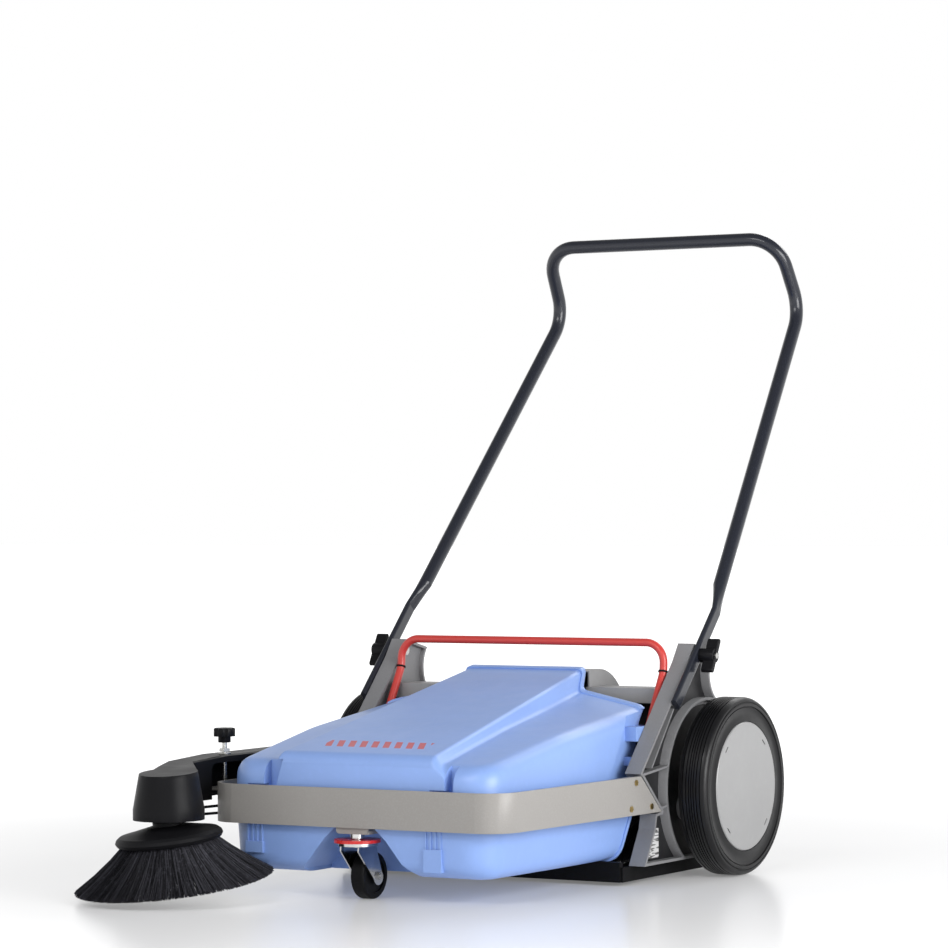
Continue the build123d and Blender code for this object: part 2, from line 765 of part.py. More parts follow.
brush_arm_cover.part.label = "brush_arm_cover"
export_step(brush_arm_cover.part, "parts/brush_arm_cover.step")

with BuildPart() as arm_plate:
    with BuildSketch(Plane.YZ.offset(arm_plate_in_x)):
        with Locations((roller_y, roller_z)):
            Circle(19)
        with BuildLine():
            Polyline(
                (roller_y - 8, roller_z + 17),
                (-190, 208),
                (-330, 208),
                (-330, 156),
                (-200, 156),
                (roller_y + 2, roller_z - 18.5),
                close=True,
            )
        make_face()
        with Locations((roller_y, roller_z)):
            Circle(shaft_end_r + running_gap, mode=Mode.SUBTRACT)
    extrude(amount=-arm_plate_thickness)
arm_plate.part.label = "arm_plate"
export_step(arm_plate.part, "parts/arm_plate.step")

spindle_top = 92.0
with BuildPart() as brush_spindle:
    with BuildSketch(brush_plane.offset(-18)):
        Circle(7)
    extrude(amount=18 + spindle_top)
    with BuildSketch(brush_plane.offset(spindle_top - 34)):
        Circle(16)
    extrude(amount=12)
brush_spindle.part.label = "brush_spindle"
export_step(brush_spindle.part, "parts/brush_spindle.step")

with BuildPart() as idler_pin:
    with BuildSketch(Plane.XY.offset(idler_low_z - idler_width / 2 - 3.4)):
        with Locations((idler_x, idler_y)):
            Circle(6)
    extrude(amount=3)
    with BuildSketch(Plane.XY.offset(idler_low_z - idler_width / 2 - 3.4)):
        with Locations((idler_x, idler_y)):
            Circle(3)
    extrude(amount=arm_top_z - 11.6 - idler_low_z)
idler_pin.part.label = "idler_pin"
export_step(idler_pin.part, "parts/idler_pin.step")

# Two sheaves on one pin: the belt's runs pass them in opposite directions
for sheave_z, level in ((idler_low_z, "lower"), (idler_high_z, "upper")):
    with BuildPart() as idler:
        with BuildSketch(Plane.XY.offset(sheave_z - idler_width / 2)):
            with Locations((idler_x, idler_y)):
                Circle(idler_r + 3)
                Circle(3 + running_gap, mode=Mode.SUBTRACT)
        extrude(amount=idler_width)
        with BuildSketch(Plane.XY.offset(sheave_z - idler_width / 2 + 1)):
            with Locations((idler_x, idler_y)):
                Circle(idler_r + 5)
                Circle(idler_r - belt_r - belt_gap, mode=Mode.SUBTRACT)
        extrude(amount=idler_width - 2, mode=Mode.SUBTRACT)
    idler.part.label = f"idler_{level}"
    export_step(idler.part, f"parts/idler_{level}.step")

# ---- Drive belt: half a turn on each pulley and two runs that bend at the idler -----------------
pulley_middle = brush_plane.offset(brush_pulley_height)
belt_corner_x, belt_corner_y = idler_x - idler_r - 0.5, idler_y - 3.3
to_idler = atan2(belt_corner_y - brush_y, belt_corner_x - brush_x)
idler_distance = sqrt((belt_corner_y - brush_y) ** 2 + (belt_corner_x - brush_x) ** 2)
inner_angle = to_idler - acos_of(brush_pulley_r / idler_distance)
outer_angle = to_idler + acos_of(brush_pulley_r / idler_distance)


def on_brush_pulley(angle):
    """Point of the belt's centre line at an angle round the brush pulley."""
    return pulley_middle.from_local_coords((brush_pulley_r * cos(angle), brush_pulley_r * sin(angle), 0))


def straight_run(start, end):
    """A round rod of the belt's section with ball ends, which joins its neighbours smoothly."""
    run_plane = Plane(origin=start, z_dir=end - start)
    with BuildPart() as run:
        with BuildSketch(run_plane):
            Circle(belt_r)
        extrude(amount=(end - start).length)
        with Locations(start, end):
            Sphere(belt_r)
    return run.part


def half_turn(start, middle, end):
    """The belt where it wraps round a pulley."""
    with BuildPart() as wrap:
        with BuildLine():
            path = ThreePointArc(start, middle, end)
        with BuildSketch(Plane(origin=start, z_dir=path % 0)):
            Circle(belt_r)
        sweep()
    return wrap.part


brush_inner, brush_outer = on_brush_pulley(inner_angle), on_brush_pulley(outer_angle)
idler_above = Vector(belt_corner_x, belt_corner_y + 1.5, idler_high_z)
idler_below = Vector(belt_corner_x, belt_corner_y - 1.7, idler_low_z)
roller_top = Vector(roller_pulley_x, roller_y, roller_z + roller_pulley_r)
roller_low = Vector(roller_pulley_x, roller_y, roller_z - roller_pulley_r)
roller_back = Vector(roller_pulley_x, roller_y + roller_pulley_r, roller_z)
with BuildPart() as drive_belt:
    add(half_turn(brush_inner, on_brush_pulley(to_idler + pi), brush_outer))
    add(half_turn(roller_top, roller_back, roller_low))
    add(straight_run(brush_inner, idler_below))
    add(straight_run(idler_below, roller_low))
    add(straight_run(brush_outer, idler_above))
    add(straight_run(idler_above, roller_top))
drive_belt.part.label = "drive_belt"
export_step(drive_belt.part, "parts/drive_belt.step")

# ---- Side brush ---------------------------------------------------------------------------------
with BuildPart() as brush_plate:
    with BuildSketch(Plane(origin=brush_plane.origin, x_dir=brush_plane.x_dir, z_dir=-brush_plane.y_dir)):
        with BuildLine():
            Polyline(
                (7 + running_gap, 16),
                (30, 16),
                (74, 6),
                (80, 5),
                (85, 1),
                (brush_plate_r, -4),
                (84, -9),
                (78, -11),
                (30, -11),
                (7 + running_gap, -11),
                close=True,
            )
        make_face()
    revolve(axis=Axis(brush_plane.origin, brush_plane.z_dir))
brush_plate.part.label = "brush_plate"
export_step(brush_plate.part, "parts/brush_plate.step")

with BuildPart() as brush_bristles:
    with BuildSketch(Plane(origin=brush_plane.origin, x_dir=brush_plane.x_dir, z_dir=-brush_plane.y_dir)):
        with BuildLine():
            Polyline(
                (56, -11),
                (79, -11),
                (brush_tip_r - 3, -brush_tip_drop + 8),
                (brush_tip_r, -brush_tip_drop),
                (118, -brush_tip_drop + 4),
                close=True,
            )
        make_face()
    revolve(axis=Axis(brush_plane.origin, brush_plane.z_dir))
brush_bristles.part.label = "brush_bristles"
export_step(brush_bristles.part, "parts/brush_bristles.step")

with BuildPart() as brush_pulley:
    with BuildSketch(brush_plane.offset(16.5)):
        Circle(brush_pulley_r + 4)
    extrude(amount=19)
    with BuildSketch(brush_plane.offset(brush_pulley_height - 3.8)):
        Circle(brush_pulley_r + 6)
        Circle(brush_pulley_r - belt_r - belt_gap, mode=Mode.SUBTRACT)
    extrude(amount=7.6, mode=Mode.SUBTRACT)
    with BuildSketch(brush_plane.offset(16)):
        Circle(7 + running_gap)
    extrude(amount=21, mode=Mode.SUBTRACT)
brush_pulley.part.label = "brush_pulley"
export_step(brush_pulley.part, "parts/brush_pulley.step")

with BuildPart() as brush_nut:
    with BuildSketch(brush_plane.offset(-18)):
        RegularPolygon(radius=11, side_count=6)
        Circle(7, mode=Mode.SUBTRACT)
    extrude(amount=6.5)
brush_nut.part.label = "brush_nut"
export_step(brush_nut.part, "parts/brush_nut.step")

# ---- Height adjuster ----------------------------------------------------------------------------
with BuildPart() as adjuster_rod:
    with BuildSketch(Plane.XY.offset(156)):
        with Locations((rod_x, rod_y)):
            Circle(rod_r)
    extrude(amount=94)
    chamfer(adjuster_rod.edges().filter_by(GeomType.CIRCLE), 0.8)
adjuster_rod.part.label = "adjuster_rod"
export_step(adjuster_rod.part, "parts/adjuster_rod.step")

with BuildPart() as adjuster_knob:
    with BuildSketch(Plane.XY.offset(238)):
        with Locations((rod_x, rod_y)):
            Circle(10.5)
    extrude(amount=11)
    with BuildSketch(Plane.XY.offset(248)):
        with Locations((rod_x, rod_y)):
            Circle(18)
            with PolarLocations(21.5, 7):
                Circle(6, mode=Mode.SUBTRACT)
    extrude(amount=14)
    chamfer(adjuster_knob.faces().sort_by(Axis.Z)[-1].edges(), 1.5)
    with BuildSketch(Plane.XY.offset(237)):
        with Locations((rod_x, rod_y)):
            Circle(rod_r)
    extrude(amount=14, mode=Mode.SUBTRACT)
adjuster_knob.part.label = "adjuster_knob"
export_step(adjuster_knob.part, "parts/adjuster_knob.step")

with BuildPart() as lock_nut:
    with BuildSketch(Plane.XY.offset(arm_top_z + 4.2)):
        with Locations((rod_x, rod_y)):
            RegularPolygon(radius=9.5, side_count=6)
            Circle(rod_r, mode=Mode.SUBTRACT)
    extrude(amount=5)
    with BuildSketch(Plane.XY.offset(arm_top_z + 0.3)):
        with Locations((rod_x, rod_y)):
            Circle(11)
            Circle(rod_r, mode=Mode.SUBTRACT)
    extrude(amount=2)
lock_nut.part.label = "lock_nut"
export_step(lock_nut.part, "parts/lock_nut.step")

# ---- Push handle --------------------------------------------------------------------------------
tail_down = Vector(0, tail_end_y - tail_start_y, tail_end_z - tail_start_z)
tail_length = tail_down.length
crimp = Vector(297.5, 60, 486)
knee = Vector(handle_knee_half, handle_knee_y, handle_knee_z)
crest = Vector(handle_top_half, handle_top_y, handle_top_z)
flip = lambda point: Vector(-point.X, point.Y, point.Z)
with BuildPart() as handle_tube:
    with BuildLine():
        route = FilletPolyline(crimp, knee, crest, flip(crest), flip(knee), flip(crimp), radius=60)
    with BuildSketch(Plane(origin=crimp, z_dir=route % 0)):
        Circle(tube_r)
        Circle(tube_r - tube_wall, mode=Mode.SUBTRACT)
    sweep()
    for side in (1, -1):
        tail_top = Vector(side * tail_x, tail_start_y, tail_start_z)
        tail_plane = Plane(origin=tail_top, x_dir=(1, 0, 0), z_dir=tail_down)
        leg_start = Vector(side * crimp.X, crimp.Y, crimp.Z)
        leg_down = leg_start - Vector(side * knee.X, knee.Y, knee.Z)
        with BuildSketch(Plane(origin=leg_start, x_dir=(1, 0, 0), z_dir=leg_down)):
            Circle(tube_r)
        with BuildSketch(tail_plane):
            RectangleRounded(tail_thickness, tail_width, tail_thickness / 2 - 0.3)
        loft()
        with BuildSketch(tail_plane):
            RectangleRounded(tail_thickness, tail_width, tail_thickness / 2 - 0.3)
        extrude(amount=tail_length)
    with BuildSketch(Plane.YZ):
        with Locations((bolt_y, bolt_z)):
            Circle(bolt_r + running_gap)
    extrude(amount=340, both=True, mode=Mode.SUBTRACT)
handle_tube.part.label = "handle_tube"
export_step(handle_tube.part, "parts/handle_tube.step")

knob_in_x = tail_x + tail_thickness / 2 + 0.4
for side, hand in ((1, "left"), (-1, "right")):
    with BuildPart() as wing_knob:
        with BuildSketch(Plane.YZ.offset(side * knob_in_x)):
            with Locations((bolt_y, bolt_z)):
                Circle(12)
        extrude(amount=side * 27)
        with BuildSketch(Plane.YZ.offset(side * (knob_in_x + 8))):
            with Locations((bolt_y, bolt_z)):
                SlotOverall(62, 9, rotation=62)
        extrude(amount=side * 21)
        chamfer(wing_knob.edges().filter_by(Axis.X, reverse=True).group_by(Axis.X)[-1 if side > 0 else 0], 1.2)
        with BuildSketch(Plane.YZ.offset(side * knob_in_x)):
            with Locations((bolt_y, bolt_z)):
                Circle(bolt_r + running_gap)
        extrude(amount=side * (bolt_end_x - knob_in_x), mode=Mode.SUBTRACT)
    wing_knob.part.label = f"wing_knob_{hand}"
    export_step(wing_knob.part, f"parts/wing_knob_{hand}.step")

# ---- Hopper -------------------------------------------------------------------------------------


def tub_section(y, half, crest_z, inner_z, low_z, inset):
    """Cross-section of the tub at y: flat bottom, drafted sides and shoulders that fall outwards."""
    half, crest_z, inner_z, low_z = half - inset, crest_z - inset, inner_z - inset, low_z + inset
    outline = [
        (half - 34, low_z),
        (half - 12, low_z + 16),
        (half - 3, low_z + 46),
        (half, low_z + 90),
        (half, crest_z - 30),
        (half - 8, crest_z - 12),
        (half - 28, crest_z),
        (120 - inset, inner_z),
    ]
    with BuildSketch(Plane.XZ.offset(-y)) as section:
        with BuildLine():
            Polyline(*outline, *[(-x, z) for x, z in reversed(outline)], close=True)
        make_face()
    return section.sketch


def deck_section(y, low_half, low_z, top_half, top_z, inset):
    """Cross-section of the raised deck at y."""
    with BuildSketch(Plane.XZ.offset(-y)) as section:
        with BuildLine():
            Polyline(
                (low_half - inset, low_z),
                (top_half + 4 - inset, top_z - 7 - inset),
                (top_half - 5 - inset, top_z - inset),
                (-top_half + 5 + inset, top_z - inset),
                (-top_half - 4 + inset, top_z - 7 - inset),
                (-low_half + inset, low_z),
                close=True,
            )
        make_face()
    return section.sketch


def behind_mouth(ahead):
    """Everything behind the open mouth's edge, moved ahead (towards -Y) by a distance."""
    with BuildPart() as region:
        with BuildSketch(Plane.YZ):
            with BuildLine():
                Polyline(
                    (-86 - ahead, 420),
                    (-86 - ahead, 340),
                    (-148 - ahead, 262),
                    (-193 - ahead, 108),
                    (-228 - ahead, 43),
                    (-228 - ahead, 0),
                    (100, 0),
                    (100, 420),
                    close=True,
                )
            make_face()
        extrude(amount=400, both=True)
    return region.part


def hopper_form(inset):
    """The hopper's solid shape, less inset all round, run past its mouth."""
    front = hopper_front_y + inset
    with BuildPart() as form:
        add(tub_section(front, 220, 200, 204, 66, inset))
        add(tub_section(front + 14, 240, 212, 214, 55, inset))
        add(tub_section(front + 41, 252, 221, 223, hopper_bottom_z, inset))
        add(tub_section(-394, 260, 256, 262, hopper_bottom_z, inset))
        add(tub_section(-60, hopper_half, 290, 318, hopper_bottom_z, inset))
        loft(ruled=True)
        add(deck_section(front, 178, 120, 146, 216, inset))
        add(deck_section(front + 14, 176, 120, 142, 233, inset))
        add(deck_section(-60, 132, 200, 109, 353, inset))
        loft(ruled=True)
        # Side pockets for the bail's legs
        for side in (-1, 1):
            with BuildSketch(Plane.YZ.offset(side * (250 - inset))):
                with BuildLine():
                    Polyline(
                        (-182 - inset, 300),
                        (-190 - inset, 276 + inset),
                        (-253 - inset, 191),
                        (-280 - inset, 150),
                        (-270 - inset, 132 - inset),
                        (-60, 132 - inset),
                        (-60, 300),
                        close=True,
                    )
                make_face()
            extrude(amount=side * 40, mode=Mode.SUBTRACT)
        # Arch over the caster
        with BuildSketch(Plane.XZ.offset(540 - inset)):
            with BuildLine():
                Polyline(
                    (-108 - inset, 20),
                    (-106 - inset, 50),
                    (-34 - inset, 118 + inset),
                    (34 + inset, 118 + inset),
                    (106 + inset, 50),
                    (108 + inset, 20),
                    close=True,
                )
            make_face()
        extrude(amount=130, mode=Mode.SUBTRACT)
        # Notches beside the raised front
        with BuildSketch(Plane.XY.offset(176 - inset)):
            with Locations((-173, hopper_front_y), (173, hopper_front_y)):
                Rectangle(20 + 2 * inset, 32 + 2 * inset)
        extrude(amount=39 + 2 * inset, mode=Mode.SUBTRACT)
    return form.part


hopper_outside = hopper_form(0) - behind_mouth(0)
hopper_rim = hopper_form(-rim_height) - behind_mouth(0)
hopper_rim = hopper_rim & behind_mouth(rim_width)
with BuildPart() as hopper_shell:
    add(hopper_outside)
    add(hopper_rim)
    add(hopper_form(hopper_wall), mode=Mode.SUBTRACT)
    for side in (-1, 1):
        # Lug for the bail's pin, with a slot for the leg, and a small rest under it
        with BuildSketch(Plane.YZ.offset(side * lug_in_x)):
            with BuildLine():
                Line((-195, lug_z - 12), (lug_y, lug_z - 12))
                ThreePointArc((lug_y, lug_z - 12), (lug_y + 12, lug_z), (lug_y, lug_z + 12))
                Polyline((lug_y, lug_z + 12), (-195, lug_z + 12), (-195, lug_z - 12))
            make_face()
        extrude(amount=side * (lug_out_x - lug_in_x))
        with BuildSketch(Plane.YZ.offset(side * lug_slot_in_x)):
            with BuildLine():
                Polyline((-176, 262), (-154, lug_z - 8.2), (-120, lug_z - 8.2), (-120, 262), close=True)
            make_face()
        extrude(amount=side * (lug_slot_out_x - lug_slot_in_x), mode=Mode.SUBTRACT)
        with BuildSketch(Plane.YZ.offset(side * 248)):
            with Locations((-192, 201)):
                RectangleRounded(16, 14, 4)
        extrude(amount=side * 18)
        with BuildSketch(Plane.YZ.offset(side * (lug_in_x - 6))):
            with Locations((lug_y, lug_z)):
                Circle(pin_r)
        extrude(amount=side * 40, mode=Mode.SUBTRACT)
    # Rest blocks on the front and the ribs above them
    for block_x, block_bottom in ((-191.5, 68), (148, 52)):
        with BuildSketch(Plane.XZ.offset(-hopper_front_y - 5)):
            with Locations((block_x, (block_bottom + 88) / 2)):
                Rectangle(33, 88 - block_bottom)
        extrude(amount=11)
        for rib in range(4):
            with BuildSketch(Plane.XZ.offset(-hopper_front_y - 3)):
                with Locations((block_x - 13.5 + 9 * rib, 102)):
                    Rectangle(2.4, 28)
            extrude(amount=5)
hopper_shell.part.label = "hopper_shell"
export_step(hopper_shell.part, "parts/hopper_shell.step")

with BuildPart() as bail_pins:
    for side in (-1, 1):
        with BuildSketch(Plane.YZ.offset(side * lug_in_x)):
            with Locations((lug_y, lug_z)):
                Circle(pin_r)
        extrude(amount=side * (lug_out_x - lug_in_x))
bail_pins.part.label = "bail_pins"
export_step(bail_pins.part, "parts/bail_pins.step")

# ---- Bail ---------------------------------------------------------------------------------------
bail_foot = Vector(bail_leg_x, lug_y, lug_z)
bail_knee = Vector(bail_leg_x, bail_knee_y, bail_knee_z)
bail_corner = Vector(bail_leg_x, bail_top_y, bail_top_z)
with BuildPart() as bail_tube:
    with BuildLine():
        bail_route = FilletPolyline(
            bail_foot,
            bail_knee,
            bail_corner,
            flip(bail_corner),
            flip(bail_knee),
            flip(bail_foot),
            radius=34,
        )
    with BuildSketch(Plane(origin=bail_foot, z_dir=bail_route % 0)):
        Circle(bail_r)
    sweep()
    for side in (-1, 1):
        with BuildSketch(Plane.YZ.offset(side * (bail_leg_x - 7))):
            with Locations((lug_y, lug_z)):
                Circle(8)
        extrude(amount=side * 14)
        with BuildSketch(Plane.YZ.offset(side * (bail_leg_x - 10))):
            with Locations((lug_y, lug_z)):
                Circle(pin_r + running_gap)
        extrude(amount=side * 20, mode=Mode.SUBTRACT)
bail_tube.part.label = "bail_tube"
export_step(bail_tube.part, "parts/bail_tube.step")

ring_along = (bail_knee - bail_foot).length
with BuildPart() as bail_rings:
    for along in (ring_along, bail_route.length - ring_along):
        ring_spot = bail_route.position_at(along, position_mode=PositionMode.LENGTH)
        ring_axis = bail_route.tangent_at(along, position_mode=PositionMode.LENGTH)
        with BuildSketch(Plane(origin=ring_spot, z_dir=ring_axis)):
            Circle(bail_r + 1.6)
            Circle(bail_r + 0.1, mode=Mode.SUBTRACT)
        extrude(amount=1.5, both=True)
bail_rings.part.label = "bail_rings"
export_step(bail_rings.part, "parts/bail_rings.step")

# ---- Caster -------------------------------------------------------------------------------------
stem_r = 6.0
fork_top_z = 88.0
wheel_y = caster_y + caster_trail
with BuildPart() as caster_stem:
    with BuildSketch(Plane.XY.offset(fork_top_z - 3)):
        with Locations((0, caster_y)):
            Circle(stem_r)
    extrude(amount=32)
    with BuildSketch(Plane.XY.offset(99.5)):
        with Locations((0, caster_y)):
            Circle(12)
    extrude(amount=7)
caster_stem.part.label = "caster_stem"
export_step(caster_stem.part, "parts/caster_stem.step")

with BuildPart() as caster_ring:
    with BuildSketch(Plane.XY.offset(caster_ring_z - 2)):
        with Locations((0, caster_y)):
            Circle(37.5)
            Circle(stem_r + running_gap, mode=Mode.SUBTRACT)
    extrude(amount=5)
caster_ring.part.label = "caster_ring"
export_step(caster_ring.part, "parts/caster_ring.step")

with BuildPart() as caster_fork:
    with BuildSketch(Plane.XY.offset(fork_top_z)):
        with Locations((0, caster_y)):
            Circle(33)
            Circle(stem_r + running_gap, mode=Mode.SUBTRACT)
    extrude(amount=4.6)
    for side in (-1, 1):
        with BuildSketch(Plane.YZ.offset(side * 15.5)):
            with BuildLine():
                Polyline(
                    (caster_y - 22, fork_top_z + 4.6),
                    (caster_y - 24, fork_top_z - 8),
                    (wheel_y - 14, caster_wheel_r - 4),
                )
                ThreePointArc(
                    (wheel_y - 14, caster_wheel_r - 4),
                    (wheel_y, caster_wheel_r - 15),
                    (wheel_y + 14, caster_wheel_r - 4),
                )
                Polyline(
                    (wheel_y + 14, caster_wheel_r - 4),
                    (caster_y + 31, fork_top_z - 12),
                    (caster_y + 28, fork_top_z + 4.6),
                    (caster_y - 22, fork_top_z + 4.6),
                )
            make_face()
            with Locations((wheel_y, caster_wheel_r)):
                Circle(4, mode=Mode.SUBTRACT)
        extrude(amount=side * 2.5)
caster_fork.part.label = "caster_fork"
export_step(caster_fork.part, "parts/caster_fork.step")

with BuildPart() as caster_axle:
    with BuildSketch(Plane.YZ):
        with Locations((wheel_y, caster_wheel_r)):
            Circle(4)
    extrude(amount=24, both=True)
    for side, head in ((-1, 7.5), (1, 7.0)):
        with BuildSketch(Plane.YZ.offset(side * 18)):
            with Locations((wheel_y, caster_wheel_r)):
                RegularPolygon(radius=head, side_count=6)
        extrude(amount=side * 4.5)
caster_axle.part.label = "caster_axle"
export_step(caster_axle.part, "parts/caster_axle.step")

with BuildPart() as caster_tyre:
    with BuildSketch(Plane.YZ):
        with Locations((wheel_y, caster_wheel_r)):
            Circle(caster_wheel_r)
            Circle(27, mode=Mode.SUBTRACT)
    extrude(amount=12.5, both=True)
    fillet(caster_tyre.edges().filter_by(GeomType.CIRCLE).group_by(SortBy.RADIUS)[-1], 4)
caster_tyre.part.label = "caster_tyre"
export_step(caster_tyre.part, "parts/caster_tyre.step")

with BuildPart() as caster_hub:
    with BuildSketch(Plane.YZ):
        with Locations((wheel_y, caster_wheel_r)):
            Circle(27)
            Circle(4 + running_gap, mode=Mode.SUBTRACT)
    extrude(amount=10, both=True)
    with BuildSketch(Plane.YZ):
        with Locations((wheel_y, caster_wheel_r)):
            Circle(9)
            Circle(4 + running_gap, mode=Mode.SUBTRACT)
    extrude(amount=14.5, both=True)
caster_hub.part.label = "caster_hub"
export_step(caster_hub.part, "parts/caster_hub.step")
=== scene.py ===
"""Walk-behind sweeper: finishes, brushes, hopper and studio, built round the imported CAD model."""

from math import atan2, cos, pi, radians, sin, sqrt, tan

import bmesh
import bpy
import numpy as np
from bpy.props import FloatProperty, FloatVectorProperty, IntProperty, PointerProperty
from mathutils import Matrix, Vector


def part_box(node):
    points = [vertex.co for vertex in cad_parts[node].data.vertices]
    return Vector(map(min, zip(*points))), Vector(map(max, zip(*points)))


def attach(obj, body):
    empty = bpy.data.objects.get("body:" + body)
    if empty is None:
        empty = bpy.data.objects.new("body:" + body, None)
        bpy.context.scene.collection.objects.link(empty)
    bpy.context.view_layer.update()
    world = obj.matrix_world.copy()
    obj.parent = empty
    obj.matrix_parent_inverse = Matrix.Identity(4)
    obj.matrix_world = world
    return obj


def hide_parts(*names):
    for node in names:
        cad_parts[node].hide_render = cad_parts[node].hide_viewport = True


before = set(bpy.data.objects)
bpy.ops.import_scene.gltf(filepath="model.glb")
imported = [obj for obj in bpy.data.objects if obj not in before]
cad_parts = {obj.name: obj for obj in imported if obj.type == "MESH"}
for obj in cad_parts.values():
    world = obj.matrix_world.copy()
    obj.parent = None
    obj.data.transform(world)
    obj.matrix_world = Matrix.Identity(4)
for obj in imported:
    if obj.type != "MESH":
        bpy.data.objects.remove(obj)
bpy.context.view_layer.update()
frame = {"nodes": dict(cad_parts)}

bl_info = {
    "name": "Walk-behind sweeper",
    "version": (1, 0, 0),
    "blender": (4, 5, 0),
    "location": "View3D > Sidebar > Sweeper",
    "description": "Builds the finishes, bristles and hopper of a push sweeper and its studio",
    "category": "Object",
}

NODES = frame["nodes"]
MM = 0.001


# ---- Settings -----------------------------------------------------------------------------------


def colour(name, description, default):
    """A colour setting, in linear red, green and blue."""
    return FloatVectorProperty(
        name=name, description=description, default=default, subtype="COLOR", min=0, max=1
    )


class SweeperFinishes(bpy.types.PropertyGroup):
    """Colours of the machine's finishes."""

    hopper: colour("Hopper", "Moulded plastic of the dirt hopper", (0.232, 0.362, 0.71))
    bail: colour("Bail", "Coated tube of the hopper's bail", (0.52, 0.040, 0.032))
    band: colour("Bumper band", "Powder coat of the bumper band", (0.290, 0.278, 0.264))
    frame: colour("Side frames", "Powder coat of the side frames", (0.205, 0.205, 0.212))
    handle: colour("Push handle", "Powder coat of the push handle", (0.014, 0.016, 0.024))
    disc: colour("Wheel disc", "Moulded disc over the wheel's hub", (0.285, 0.285, 0.287))
    rim: colour("Wheel rim", "Moulded rim of the road wheels", (0.36, 0.36, 0.37))
    rubber: colour("Rubber", "Tyres and sealing lips", (0.0035, 0.0035, 0.0042))
    plastic: colour("Black plastic", "Brush arm cover, knobs and sill", (0.0060, 0.0060, 0.0072))
    hood: colour("Roller hood", "Moulded hood over the roller brush", (0.285, 0.285, 0.29))
    bristle: colour("Bristles", "Nylon bristles of both brushes", (0.010, 0.010, 0.012))
    zinc: colour("Zinc", "Zinc plated steel", (0.50, 0.50, 0.48))
    brass: colour("Screws", "Yellow passivated screws", (0.60, 0.44, 0.18))
    ring: colour("Caster ring", "Ring over the caster's swivel", (0.55, 0.02, 0.02))
    nylon: colour("Nylon", "Gears, bushes and sheaves", (0.55, 0.53, 0.47))


def length(name, description, default):
    """A size setting, in metres."""
    return FloatProperty(
        name=name, description=description, default=default, min=0, subtype="DISTANCE", unit="LENGTH"
    )


def count_of(name, description, default):
    """A setting for how many of something there are."""
    return IntProperty(name=name, description=description, default=default, min=1)


class SweeperSizes(bpy.types.PropertyGroup):
    """Sizes of the pieces that are built here."""

    edge: length("Edge round", "Rounding of pressed and moulded edges", 0.7 * MM)
    cover_edge: length("Cover edge", "Rounding of the brush arm cover's edges", 1.6 * MM)
    knob_edge: length("Knob edge", "Rounding of the wing knobs' edges", 1.2 * MM)
    hopper_wall: length("Hopper wall", "Wall thickness of the hopper", 4 * MM)
    rim_bead: length("Rim bead", "How far the bead stands out round the hopper's mouth", 3.2 * MM)
    roller_strand: length("Roller strand", "Thickness of the roller's bristles", 0.95 * MM)
    roller_rows: count_of("Roller rows", "Rows of tufts round the roller", 14)
    roller_tufts: count_of("Roller tufts", "Tufts along each row of the roller", 64)
    roller_each: count_of("Strands in a tuft", "Strands in each tuft of the roller", 11)
    brush_strand: length("Brush strand", "Thickness of the side brush's bristles", 0.62 * MM)
    brush_count: count_of("Brush strands", "Strands in the side brush", 6400)


def finishes():
    """Colours set in the scene."""
    return bpy.context.scene.sweeper_finishes


def sizes():
    """Sizes set in the scene."""
    return bpy.context.scene.sweeper_sizes


# ---- Materials ----------------------------------------------------------------------------------
# Specular level of the black finishes, and the base colour below which a finish counts as black
BLACK_SHEEN = 0.12
BLACK_LIMIT = 0.05
# Outer face of the side frames' web, from the middle of the machine, and the band round it, where
# painted shade darkens the web
SHADED_WEB_FACE = 285.6 * MM
SHADED_WEB_BAND = 1.2 * MM


